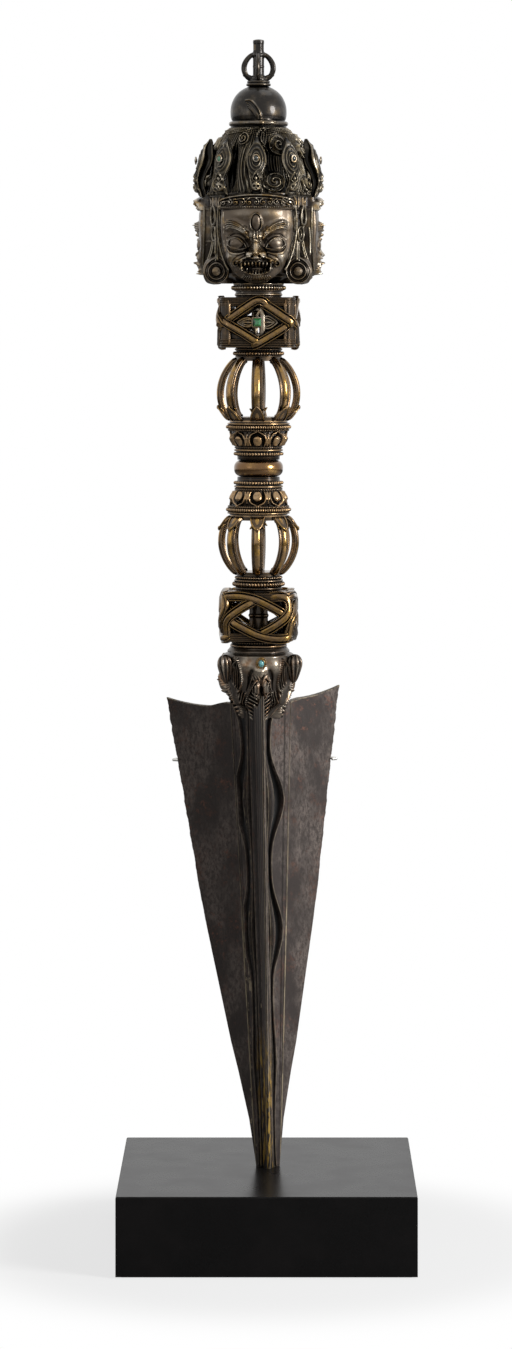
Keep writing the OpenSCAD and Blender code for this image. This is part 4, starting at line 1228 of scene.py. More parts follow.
@dataclass
class MakaraHead:
    """Sea-creature head in three faces whose jaws grip the blade."""

    drop: float = 5.2
    top: float = 20.1
    columns: int = 300
    rows: int = 220

    def carve(self, d: Array, z: Array) -> tuple[Array, Array]:
        """Shape of one face.

        Args:
            d: degrees from the middle of the face.
            z: height above the blade's shoulder.

        Returns:
            The radius, and how rubbed it is.
        """
        base = eased(z, [-self.drop, -3, -1, 0.4, 4, 9, 13, 16.5, 18.4, 20.1],
            [5.0, 6.4, 8.2, 10.4, 11.3, 12.1, 12.7, 12.3, 11.2, 10.1])
        u = np.radians(d) * 12.4
        # Only the jaws hang down over the front of each fin, and the flanks draw in toward the shoulder
        jaw = 1 / (1 + np.exp((np.abs(u) - 6.2) / 0.5))
        base = base + jaw * np.clip(10.2 - 0.25 * np.clip(-z, 0, 9) - base, 0, None)
        base = base - 1.1 * (1 - jaw) * np.clip((9 - z) / 7, 0, 1)
        base = base - 1.8 * np.exp(-((d - 30) / 15) ** 2) * np.clip((12 - z) / 8, 0, 1)
        cut = Relief(u, z)
        cut.dome(0, 15.9, 2.6, 2.8, 0.6)
        cut.dome(4.9, 14.6, 2.8, 3.6, 1.1, pair=True)
        # Leaf-shaped eyes: a striated hollow inside a beaded rim
        side = np.abs(u)
        leaf = np.hypot((side - 9.6 + 0.16 * (z - 10)) / 2.5, (z - 10.2) / 5.2)
        within = np.clip((1.0 - leaf) * 5, 0, 1)
        striae = np.cos(2 * np.pi * (side + 0.22 * z) / 0.95)
        cut.h += within * (-0.6 + 0.32 * striae)
        cut.ridge([(8.4, 16.4), (7.3, 13.6), (6.8, 10.4), (7.4, 7.2), (8.8, 5.0)], 0.42, 1.0, pair=True, beads=0.75)
        cut.ridge([(8.4, 16.4), (10.6, 14.2), (12.2, 10.6), (11.8, 7.4), (8.8, 5.0)], 0.32, 0.7, pair=True)
        cut.ridge([(3.1, 12.6), (4.2, 10.2), (4.6, 7.4), (5.6, 5.2)], 0.5, -0.7, pair=True)
        # Snout with two nostril lobes over the fin's upper corner
        cut.ridge([(0, 12.2), (0, 8.8), (0, 4)], 1.8, 1.8)
        cut.boss(-1.6, 6.0, 1.5, 3.8, 2.0)
        cut.boss(1.9, 7.2, 1.8, 4.4, 2.4)
        cut.ridge([(0.1, 6.8), (0, 4.4), (0.2, 1.0)], 0.26, -1.7)
        cut.ridge([(1.4, 9.8), (2.5, 7.8), (2.9, 5.4), (2.4, 3.2)], 0.2, -0.7)
        cut.ridge([(2.0, 9.8), (3.3, 7.6), (3.5, 5.0)], 0.2, 0.5)
        cut.ridge([(-1.2, 8.8), (-2.2, 7.2), (-2.4, 4.6)], 0.2, -0.6)
        cut.dome(0.7, 3.9, 0.5, 0.75, -1.2, pair=True)
        # Jaws spread from the snout, with fanned teeth between them and the fin
        cut.ridge([(2.0, 8.6), (3.8, 5.4), (6.0, 1.6), (6.6, -1.4), (6.2, -3.4)], 0.42, 1.0, pair=True, beads=0.8)
        cut.ridge([(3.2, 9.4), (5.2, 5.4), (7.6, 1.6), (8.4, -0.6)], 0.36, 0.6, pair=True)
        # The teeth fan out between the fin and the jaw, and fine hair lies outside it
        jaw_line = np.interp(z, [-3.4, -1.4, 1.6, 5.4, 8.6], [6.2, 6.6, 6.0, 3.8, 2.0])
        teeth = np.cos(2 * np.pi * (z - 0.75 * side + 0.04 * side ** 2) / 1.4)
        mouth = np.clip((jaw_line - 0.5 - side) * 2.2, 0, 1) * np.clip((side - 1.0) * 2, 0,
            1) * np.clip((5.2 - z) * 1.2, 0, 1)
        cut.h += 0.5 * teeth * mouth
        hair = np.cos(2 * np.pi * (side + 0.55 * z) / 1.45)
        outside = np.clip((side - jaw_line - 0.9) * 1.6, 0, 1) * np.clip((10.6 - side) * 1.2, 0,
            1) * np.clip((5.5 - z) * 0.8, 0, 1)
        cut.h += 0.36 * hair * outside
        lobes = np.clip((3.2 - side) * 2, 0, 1) * np.clip((z - 3.2) * 1.2, 0, 1) * np.clip((11.2 - z) * 1.2, 0, 1)
        grain = np.cos(2 * np.pi * (side - 0.05 * (z - 6) ** 2) / 0.95)
        cut.h += 0.16 * grain * lobes
        for n in range(3):
            cut.ridge([(10.4 + n * 0.9, 4.4 - n), (10.2 + n * 0.8, 2.4), (9.8 + n, 0.6)], 0.32, 0.35, pair=True)
        cut.ridge([(-13.2, 18.4), (13.2, 18.4)], 0.3, -0.5, curve=False)
        cut.ridge([(-13.2, 17.5), (13.2, 17.5)], 0.3, 0.25, curve=False)
        fade = np.clip((z + self.drop) / 2.4, 0, 1) * np.clip((self.top - z) / 0.8, 0, 1)
        rub = np.clip((cut.h - 0.1) / 1.1, -0.8, 1) * (1 - within) + within * (0.7 * striae - 0.1)
        rub += 1.1 * teeth * mouth + 1.0 * hair * outside + 0.7 * grain * lobes
        return base + cut.h * fade * np.clip((12.4 - side) / 1.6, 0.25, 1), rub

    def ears(self, form: Form, lift: float) -> None:
        """Adds the ribbed, shell-like ears over the corners between the faces.

        Args:
            form: where they go.
            lift: height of the blade's shoulder.
        """
        t = np.linspace(0.04, math.pi - 0.04, 60)[::-1, None]
        a = circle(144)[None, :] + 0.01
        waves = np.cos(9 * a + 1.2 * np.cos(t))
        # Each ear is a shell that narrows downward and leans out at the top
        narrow = 0.78 + 0.22 * np.tanh(1.6 * np.cos(t))
        ribs = (1 + 0.11 * waves * np.sin(t)) * narrow * np.sin(t) ** 0.85
        x, y, z = 3.3 * np.cos(a) * ribs, 2.7 * np.sin(a) * ribs, 5.1 * np.cos(t) + 0 * a
        x = x + 0.06 * z
        for step in THREE:
            px, py = rotated(14.0 + x, y, math.radians(FRONT + BLADE_TURN + 60 + step))
            points = np.stack([HILT_X + px, py, lift + 12.9 + z], -1)
            form.hoop(points, rub=waves * np.sin(t) - 0.1)

    def build(self) -> None:
        """Makes the head, its settings and stones."""
        lift = span("makara_collar")[0] - self.top
        d, z = sector(self.columns, self.rows, -self.drop, self.top)
        form = Form()
        r, rub = self.carve(d, z)
        form.hoop(ring_of_faces(d, z, r, BLADE_TURN, lift), rub=np.tile(rub, (1, 3)))
        self.ears(form, lift)
        place(form, "makara_casting", MAKARA, Slot.HILT, "makara_head")
        z0, z1, _ = span("makara_bezels")
        rims, stones = Form(), Form()
        ring = circle(40)
        y = -13.9
        rims.tube(np.stack([1.2 * np.cos(ring), 0 * ring + y, 1.5 * np.sin(ring)], -1), 0.3, closed=True, rub=0.5)
        for n in range(20):
            b = 2 * math.pi * n / 20
            rims.blob((1.68 * math.cos(b), y + 0.15, 2.0 * math.sin(b)), (0.28, 0.28, 0.28), sides=8)
        rims.blob((0, y + 0.2, 0), (1.6, 0.5, 2.0))
        rims.blob((0, y + 0.1, -3.3), (0.62, 0.6, 0.62))
        stones.blob((0, y - 0.05, 0), (1.0, 0.75, 1.28), sides=28)
        for form in (rims, stones):
            form.round_hilt([BLADE_TURN + step for step in THREE], (z0 + z1) / 2)
        place(rims, "brow_settings", GILT, Slot.HILT, "makara_bezels")
        place(stones, "brow_turquoises", TURQUOISE, Slot.TURQUOISE, "makara_turquoises")


# Knots


@dataclass
class WovenKnot:
    """Square openwork knot woven from flat bands."""

    node: str
    half: float
    strands: list[tuple[Line, Line, float]]
    web: list[tuple[Line, float]]
    posts: bool = False
    corner: float = 3.8
    rail: float = 3.1

    def on_drum(self, x: Array, out: Array) -> tuple[Array, Array, Array]:
        """Wraps places across a face round the knot's square outline with rounded corners.

        Args:
            x: places across the face, -1 to 1 from corner to corner, and beyond onto the next faces.
            out: distance outside the outline.

        Returns:
            The x and y of each place, and its outward direction.
        """
        face = np.round(x / 2)
        local = x - 2 * face
        flat = 1 - self.corner / self.half
        bend = np.clip((np.abs(local) - flat) / (1 - flat), 0, 1) * np.pi / 4 * np.sign(local)
        px = np.clip(local, -flat, flat) * self.half + (self.corner + out) * np.sin(bend)
        py = -(self.half - self.corner) - (self.corner + out) * np.cos(bend)
        turn = np.radians(HILT_TURN) + face * np.pi / 2
        normal = np.stack([*rotated(np.sin(bend), -np.cos(bend), turn), 0 * bend], -1)
        px, py = rotated(px, py, turn)
        return HILT_X + px, py, normal

    def section(self, width: float, thick: float) -> Array:
        """Section of a band: a flat rounded back between two fine beads.

        Args:
            width: the band's width.
            thick: its thickness.

        Returns:
            The section's points, across and outward.
        """
        t = np.linspace(1, -1, 41)
        broad = 0.56 * np.sqrt(np.clip(1 - np.abs((t + 0.04) / 0.62) ** 4, 0, 1))
        bead = 0.4 * np.sqrt(np.clip(1 - ((np.abs(t) - 0.83) / 0.17) ** 2, 0, 1))
        top = np.maximum(broad, bead) * thick
        upper = np.stack([t * width / 2, top], -1)
        return np.vstack([[(-width / 2, -thick * 0.5), (width / 2, -thick * 0.5)], upper])

    def band_along(self, form: Form, line: Line, lift: Line, z0: float, height: float, width: float, face: int,
            thick: float = 2.3) -> None:
        """Lays one band over a face.

        Args:
            form: where it goes.
            line: places across (-1 to 1) and up (0 to 1) the face.
            lift: how far its back stands out along it, as share and mm.
            z0: the knot's foot.
            height: the knot's height.
            width: the band's width.
            face: number of the face.
            thick: thickness of the band.
        """
        path = smooth_line(line, 9)
        step = np.linspace(0, 1, len(path))
        out = np.interp(step, [p[0] for p in lift], [p[1] for p in lift])
        x, y, normal = self.on_drum(path[:, 0] + 2 * face, out)
        size = np.clip(np.minimum(step, 1 - step) * 12 + 0.62, 0, 1)
        section = self.section(width, thick)
        rub = np.clip(2.6 * section[:, 1] / thick - 0.85, -0.9, 0.5)
        form.sweep(np.stack([x, y, z0 + path[:, 1] * height], -1), section, size, normals=normal, rub=rub)

    def rails(self, form: Form, z0: float, height: float) -> None:
        """Adds the grooved rails at the foot and top, with the plates inside them.

        Args:
            form: where they go.
            z0: the knot's foot.
            height: the knot's height.
        """
        x = np.linspace(-1, 7, 200, endpoint=False)
        for z, flip in ((z0 + self.rail / 2, 1), (z0 + height - self.rail / 2, -1)):
            px, py, normal = self.on_drum(x, np.full_like(x, -0.6))
            t = np.linspace(1, -1, 41)
            groove = 0.9 - 0.7 * np.clip(np.abs(t) - 0.8, 0, 1) ** 2 / 0.04
            for line in (-0.55, -0.12, 0.3, 0.62):
                groove = groove - 0.34 * np.exp(-((t * flip - line) / 0.085) ** 2)
            section = np.vstack([[(-self.rail / 2, -1.4), (self.rail / 2, -1.4)],
                np.stack([t * self.rail / 2, groove], -1)])
            rub = np.concatenate([[-0.5, -0.5], (groove - 0.78) * 3])
            form.sweep(np.stack([px, py, np.full_like(x, z)], -1), section, normals=normal, closed=True, rub=rub)
            low, high = z - self.rail / 2 + 0.1, z + self.rail / 2 - 0.1
            px, py, _ = self.on_drum(x, np.full_like(x, -1.2))
            corners = ((0.15, low), (1, low), (1, high), (0.15, high))
            plate = [np.stack([HILT_X + (px - HILT_X) * q, py * q, np.full_like(x, h)], -1) for q, h in corners]
            form.hoop(np.asarray(plate))
        if self.posts:
            for k in range(4):
                px, py, normal = self.on_drum(np.full(8, 2.0 * k + 1.0), np.full(8, -0.8))
                up = np.linspace(z0 + 1.0, z0 + height - 1.0, 8)
                form.sweep(np.stack([px, py, up], -1), self.section(5.4, 1.5), normals=normal, rub=-0.25)
        # The inner strands close the two open corners of the nearer faces
        for face in (0, 1):
            for line, width in self.web:
                self.band_along(form, line, [(0, -2.5), (1, -2.5)], z0, height, width, face, 1.6)

    def build(self, name: str) -> None:
        """Makes the knot.

        Args:
            name: the piece's name.
        """
        z0, z1, h = span(self.node)
        form = Form()
        self.rails(form, z0, h)
        form.points = [np.stack([p[:, 0], p[:, 1], np.clip(p[:, 2], z0, z1)], -1) for p in form.points]
        place(form, name + "_rails", HILT, Slot.HILT, self.node)
        form = Form()
        for face in range(4):
            for line, lift, width in self.strands:
                self.band_along(form, line, lift, z0, h, width, face)
        place(form, name + "_bands", GILT, Slot.HILT)


def half_turned(strands: list[tuple[Line, Line, float]]) -> list[tuple[Line, Line, float]]:
    """Adds to each strand the same one turned by half a turn on its face."""
    return strands + [([(-x, 1 - y) for x, y in line], lift, width) for line, lift, width in strands]


# Inner strands behind the bands: line across and up the face, and width
LOWER_WEB = [
    ([(-0.66, 0.56), (-0.36, 0.75), (0.0, 0.93)], 2.6),
    ([(0.0, 0.93), (0.36, 0.75), (0.7, 0.56)], 3.4),
    ([(-0.66, 0.46), (-0.36, 0.28), (0.0, 0.1)], 2.6),
    ([(0.7, 0.44), (0.34, 0.27), (0.0, 0.1)], 3.4),
    ([(-1.0, 0.3), (-0.62, 0.13), (-0.3, 0.05)], 4.4),
    ([(0.4, 0.95), (0.7, 0.86), (1.0, 0.7)], 4.4),
    ([(-0.5, 0.92), (-0.68, 0.9), (-1.0, 0.8)], 2.0),
    ([(0.4, 0.06), (0.7, 0.12), (1.0, 0.26)], 4.0),
]
UPPER_WEB = [
    ([(-0.95, 0.4), (-0.56, 0.6), (-0.2, 0.78), (0.05, 0.92)], 3.2),
    ([(0.0, 0.92), (0.2, 0.77), (0.45, 0.62), (0.75, 0.5)], 4.0),
    ([(0.75, 0.47), (0.5, 0.36), (0.2, 0.24), (-0.05, 0.13)], 3.8),
    ([(-0.8, 0.5), (-0.5, 0.4), (-0.3, 0.31), (-0.08, 0.18)], 3.2),
    ([(0.05, 1.0), (-0.3, 0.89), (-0.56, 0.76)], 3.4),
    ([(-1.0, 0.3), (-0.6, 0.22), (-0.3, 0.1), (0.0, 0.0)], 5.0),
    ([(0.05, 1.0), (0.5, 0.82), (1.0, 0.64)], 5.4),
    ([(0.15, 0.02), (0.45, 0.14), (0.6, 0.14), (1.0, 0.2)], 3.4),
]
LOWER_WEAVE = half_turned([
    ([(-1.1, 0.86), (-0.94, 0.92), (-0.59, 0.94), (-0.24, 0.91), (0.05, 0.845), (0.38, 0.73), (0.64, 0.63),
      (0.8, 0.54)],
     [(0, -0.8), (0.3, -0.2), (0.55, 0.5), (0.85, 0.3), (1, -0.9)], 3.6),
]) + [
    ([(0.3, 0.9), (0.62, 0.94), (0.87, 0.9), (0.97, 0.77), (0.94, 0.62), (0.78, 0.47), (0.47, 0.31), (0.22, 0.21),
      (0.05, 0.15)],
     [(0, -1.2), (0.2, -0.5), (0.5, 0.3), (0.75, 0.5), (0.9, -0.2), (1, -1.4)], 3.6),
    ([(-1.0, 0.08), (-0.98, 0.23), (-0.94, 0.38), (-0.78, 0.53), (-0.47, 0.69), (-0.22, 0.79), (-0.05, 0.85)],
     [(0, -1.0), (0.25, -0.1), (0.5, 0.4), (0.8, 0.4), (0.92, -0.2), (1, -1.4)], 3.6),
]
UPPER_WEAVE = [
    ([(-0.97, 0.47), (-0.7, 0.6), (-0.35, 0.78), (-0.02, 0.93), (0.16, 0.92), (0.26, 0.84)],
      [(0, -1.0), (0.3, -0.3), (0.7, 0.4), (1, -0.8)], 3.5),
    ([(0.12, 0.9), (0.4, 0.77), (0.7, 0.62), (0.9, 0.52), (0.97, 0.44)],
      [(0, -0.9), (0.4, 0.2), (0.85, 0.7), (1, -0.5)], 3.9),
    ([(0.95, 0.5), (0.7, 0.38), (0.35, 0.22), (0.02, 0.08), (-0.12, 0.04)],
      [(0, -1.2), (0.3, -0.1), (0.75, 0.4), (1, -0.7)], 3.5),
    ([(-0.97, 0.54), (-0.75, 0.45), (-0.4, 0.3), (-0.1, 0.16), (0.02, 0.12)],
      [(0, -0.3), (0.3, 0.3), (0.85, 0.3), (1, -0.8)], 3.5),
]


@dataclass
class KnotFillings:
    """The post in the lower knot, and the leaf settings with their stones in the upper one."""

    upper_half: float = 14.45

    def post(self) -> None:
        """Makes the post of the lower knot."""
        rings = ((0.08, 3.9, 0.6, 0), (0.92, 3.9, 0.6, 0), (0.5, 3.6, 0.8, 0))
        Collar("knot_post", "inner_post", ((0, 3.4, 1, 3.2),), rings, sides=64, step=0.2).build()

    def settings(self) -> None:
        """Makes the stem, leaf pair and square stone of each face."""
        z0, z1, h = span("upper_knot")
        y = -self.upper_half + 2.6
        leaves, stones = Form(), Form()
        for side in (-1, 1):
            t = np.linspace(0, 1, 26)
            grown = 1.0 if side > 0 else 0.72
            for reach, tall, r in ((6.2, 2.2 * grown, 0.42), (5.0, 1.4 * grown, 0.32)):
                arch = np.stack([side * (1.1 + reach * t), 0 * t + y, tall * np.sin(np.pi * t ** 0.8)], -1)
                leaves.tube(arch, r, 8)
                leaves.tube(arch * [1, 1, -1], r, 8)
            u, w = np.meshgrid(np.linspace(0.02, 0.98, 24), np.linspace(-1, 1, 13), indexing="ij")
            body = np.stack([side * (1.1 + 6.2 * u), y + 0.5 - 0.35 * np.cos(w * 1.5) - 0.12 * np.cos(u * 60),
                w * 2.1 * grown * np.sin(np.pi * u ** 0.8)], -1)
            leaves.grid(body if side < 0 else body[::-1])
            leaves.tube([(side * 1.6, y - 0.25, 0), (side * 5.6, y - 0.25, 0.1)], 0.3, 8)
        h = h / 2 - 1.9
        stem = [(1.1, y + 0.6, -h), (1.9, y + 0.4, -h * 0.4), (1.9, y + 0.4, h * 0.4), (0.9, y + 0.6, h)]
        leaves.tube(stem, 1.15, 14)
        leaves.tube([(-1.3, y + 0.6, -h), (-0.5, y + 0.2, -h * 0.55), (-0.3, y, -2.0)], 0.6, 10)
        leaves.tube([(1.9, y + 0.2, h), (0.7, y + 0.1, h * 0.55), (-0.2, y, 2.1)], 0.6, 10)
        for z in (-4.6, 4.6):
            leaves.blob((0.2, y + 0.1, z), (1.0, 0.8, 0.8))
        frame_line = [(-1.75, y - 0.3, -1.6), (1.75, y - 0.3, -1.6), (1.75, y - 0.3, 1.6), (-1.75, y - 0.3, 1.6)]
        leaves.tube(frame_line, 0.38, 8, closed=True)
        cut = [(1.38, 0.0), (1.38, 0.5), (0.75, 1.0)]
        corners = ((-1, -1), (1, -1), (1, 1), (-1, 1))
        stones.hoop(np.asarray([[(a * w, y - 0.2 - d, b * w) for a, b in corners] for w, d in cut]))
        for form in (leaves, stones):
            form.round_hilt([HILT_TURN + k * 90 for k in range(4)], (z0 + z1) / 2)
        place(leaves, "leaf_settings", FACE, Slot.HILT, "knot_settings")
        place(stones, "square_stones", GREEN, Slot.GREEN, "knot_stones", sharp=20)


# Cages, collars and lotus seats


@dataclass
class VajraCage:
    """Cage of eight curved prongs that spring from leaf sheaths."""

    node: str
    radius: float
    seat_below: bool
    end_radius: float = 8.0
    seat_radius: float = 10.4
    end_ring: float = 1.3

    def build(self, name: str) -> None:
        """Makes the cage.

        Args:
            name: the piece's name.
        """
        z0, z1, h = span(self.node)
        low, high = (self.seat_radius, self.end_radius) if self.seat_below else (self.end_radius, self.seat_radius)
        form = Form()
        u = np.linspace(0.0, 1.0, 44)
        edge = low + (high - low) * u + (self.radius - (low + high) / 2) * np.sin(np.pi * u) ** 0.62
        path = np.stack([edge, 0 * u, z0 + h * u], -1)
        slope = np.gradient(path, axis=0)
        normal = np.stack([slope[:, 2], 0 * u, -slope[:, 0]], -1)
        flanks = np.array([(-2.05, -1.2), (-1.2, -2.5), (1.2, -2.5), (2.05, -1.2), (1.95, -0.85), (1.2, -0.75),
            (-1.2, -0.75), (-1.95, -0.85)])
        t = np.linspace(math.pi, 0, 17)
        ridge = np.vstack([np.stack([1.22 * np.cos(t), 0.95 * np.sin(t) - 0.85], -1)[::-1],
            [(-1.15, -1.4), (1.15, -1.4)]])
        size = 0.88 + 0.12 * np.sin(np.pi * u)
        form.sweep(path, flanks, size, normals=normal, rub=-0.45)
        ridges = Form()
        ridges.sweep(path, ridge, size, normals=normal, rub=np.clip((ridge[:, 1] + 0.55) / 0.5, -0.7, 0.75))
        # The leaf sheath: a wider cusped blade from the lotus end, with its tips turned outward
        seat = u if self.seat_below else 1 - u
        keep = seat < 0.21
        s = seat[keep] / 0.21
        lift = 0.35 + 0.6 * s ** 3
        away = normal[keep] / (np.linalg.norm(normal[keep], axis=1)[:, None] + 1e-9)
        leaf = np.array([(-2.4, -1.0), (-1.5, -1.3), (1.5, -1.3), (2.4, -1.0), (2.3, -0.6), (1.5, -0.35), (-1.5, -0.35),
            (-2.3, -0.6)])
        form.sweep(path[keep] + away * (lift - 0.1)[:, None], leaf, np.clip(1.08 - 0.8 * s ** 2.2, 0.1, 2),
            normals=normal[keep])
        for side in (-1, 1):
            half = 2.1 * np.clip(1.08 - 0.85 * s ** 2.4, 0.05, 2)
            edge_line = path[keep] + away * (lift - 0.45)[:, None] + np.array([0, side, 0]) * half[:, None]
            ridges.tube(edge_line, 0.3, 8, rub=0.3)
            base = path[np.argmin(np.abs(seat - 0.13))]
            rise = h * 0.035 * (1 if self.seat_below else -1)
            hook = [(base[0] - 0.9, side * 1.6, base[2]), (base[0] - 0.5, side * 2.1, base[2] + rise),
                (base[0], side * 2.5, base[2] + rise * 1.5)]
            ridges.tube(smooth_line(hook), np.linspace(0.5, 0.25, len(smooth_line(hook))), 8)
        ridges.blob((path[np.argmin(np.abs(seat - 0.2))] + [0.45, 0, 0]), (0.5, 0.6, 0.8))
        for made in (form, ridges):
            made.round_hilt([FRONT + HILT_TURN + 45 * k for k in range(8)])
        for z, r in ((z0, low), (z1 - self.end_ring, high)):
            Turned(z, z + self.end_ring).wall(z, r - 0.1, z + self.end_ring, r - 0.1).into(form, 96, 0.3)
        place(form, name + "_prongs", HILT, Slot.HILT, self.node, sharp=50)
        place(ridges, name + "_ridges", GILT, Slot.HILT)


@dataclass
class LotusSeat:
    """Lotus seat: neck, roped band, a row of petals, beaded flange and neck."""

    node: str
    flange_up: bool
    petals: int = 8
    flange_radius: float = 11.62
    petal_radius: float = 10.9
    rope_radius: float = 8.9

    def build(self, name: str) -> None:
        """Makes the seat.

        Args:
            name: the piece's name.
        """
        z0, z1, h = span(self.node)

        def at(share: float) -> float:
            """Height of a share counted from the rope to the flange."""
            return z0 + h * (share if self.flange_up else 1 - share)

        seat = Turned(z0, z1)
        walls = ((0, 7.5, 0.12, 7.6), (0.1, 8.0, 0.34, 8.1), (0.32, 8.5, 0.55, 10.0), (0.55, 10.0, 0.78, 9.9),
                 (0.74, 10.2, 0.92, 10.5), (0.9, 10.3, 1, 10.3))
        for a, ra, b, rb in walls:
            seat.wall(*((at(a), ra, at(b), rb) if self.flange_up else (at(b), rb, at(a), ra)))
        rings = ((0.15, self.rope_radius, 0.62, 52), (0.245, 8.7, 0.4, 0), (0.31, 8.55, 0.32, 60),
                 (0.755, 11.0, 0.4, 84), (0.835, self.flange_radius, 0.66, 84), (0.915, 11.1, 0.36, 0))
        for share, crest, half, beads in rings:
            seat.ring(at(share), crest, half, beads)

        def carve(a: Array, z: Array, r: Array, rub: Array) -> tuple[Array, Array]:
            """Carves the petals.

            Args:
                a: angles in degrees.
                z: heights.
                r: radii of the turned seat.
                rub: how rubbed the turned seat is.

            Returns:
                The radii and how rubbed they are, with the petals.
            """
            share = (z - z0) / h
            share = share if self.flange_up else 1 - share
            v = (share - 0.345) * h
            pitch = 360 / self.petals
            d = (a - FRONT - HILT_TURN + pitch / 2) % pitch - pitch / 2
            cut = Relief(np.radians(d) * 10.2, v)
            arch = [(-2.7, -0.1), (-3.15, 2.0), (-2.5, 4.0), (-0.9, 4.9), (0, 5.35), (0.9, 4.9), (2.5, 4.0),
                (3.15, 2.0), (2.7, -0.1)]
            cut.ridge(arch, 0.36, 0.95)
            cut.ridge([(x * 0.74, y * 0.8 + 0.1) for x, y in arch], 0.26, -0.55)
            cut.boss(0, 1.9, 1.85, 1.9, 1.15)
            cut.dome(0, 0.2, 1.6, 0.5, 0.4)
            cut.ridge([(3.9, 0.2), (3.75, 2.4), (4.0, 4.4)], 0.4, 0.7, pair=True)
            cut.ridge([(3.6, 3.2), (4.0, 5.2)], 0.2, -0.35, pair=True, curve=False)
            inside = (v > -0.2) & (v < 5.7)
            fade = np.clip((v + 0.2) / 0.5, 0, 1) * np.clip((5.7 - v) / 0.3, 0, 1)
            r = np.minimum(r - np.where(inside, 0.35, 0) + np.where(inside, cut.h * fade, 0) * 0.85,
                np.where(inside, self.petal_radius, 99))
            return r, np.where(inside, np.clip((cut.h - 0.25) / 0.55, -1, 1), rub)

        form = Form()
        seat.into(form, 540, 0.09, carve)
        place(form, name, LOTUS, Slot.HILT, self.node)


@dataclass(frozen=True)
class Collar:
    """Small turned piece: its walls and rings are given by the share of its height and their radius."""

    node: str
    name: str
    walls: tuple[tuple[float, float, float, float], ...]
    rings: tuple[tuple[float, float, float, int], ...]
    kind: AgedBronze = HILT
    slot: Slot = Slot.HILT
    sides: int = 576
    step: float = 0.11

    def build(self) -> None:
        """Makes the collar."""
        z0, z1, h = span(self.node)
        piece, form = Turned(z0, z1), Form()
        for low, r0, high, r1 in self.walls:
            piece.wall(z0 + h * low, r0, z0 + h * high, r1)
        for share, crest, half, beads in self.rings:
            piece.ring(z0 + h * share, crest, half, beads)
        piece.into(form, self.sides, self.step)
        place(form, self.name, self.kind, self.slot, self.node)


COLLARS = (
    Collar("makara_collar", "ribbed_ring", ((0, 9.3, 1, 9.0),), ((0.26, 10.1, 0.55, 0), (0.72, 9.7, 0.5, 66))),
    Collar("lower_collar", "lower_beaded_collar", ((0, 7.9, 1, 7.7),),
           ((0.2, 8.4, 0.6, 0), (0.46, 9.4, 0.8, 52), (0.68, 8.7, 0.35, 0), (0.86, 8.5, 0.5, 60))),
    Collar("upper_collar", "upper_beaded_collar", ((0, 7.8, 1, 8.1),),
           ((0.4, 9.15, 0.72, 52), (0.1, 8.3, 0.3, 0), (0.82, 8.5, 0.35, 0))),
    Collar("neck_collar", "neck_beaded_collar", ((0, 8.1, 1, 8.3), (0.44, 8.7, 0.92, 8.9)),
           ((0.2, 8.5, 0.5, 0), (0.68, 9.8, 0.8, 54), (0.95, 9.0, 0.3, 0)), FACE),
)


@dataclass
class GripBead:
    """The smooth bead in the middle of the grip."""

    neck_radius: float = 5.7
    bulge: float = 3.03

    def build(self) -> None:
        """Makes the bead."""
        z0, z1, h = span("grip_bead")
        angles = circle(160) + 0.012
        z, a = np.meshgrid(np.linspace(-1, 1, 60), angles, indexing="ij")
        r = self.neck_radius + self.bulge * np.clip(1 - np.abs(z) ** 2.4, 0, 1) ** 0.5
        form = Form()
        form.hoop(around(r, a, (z0 + z1) / 2 + z * h / 2))
        place(form, "polished_bead", BEAD, Slot.BEAD, "grip_bead")


# Head and crown


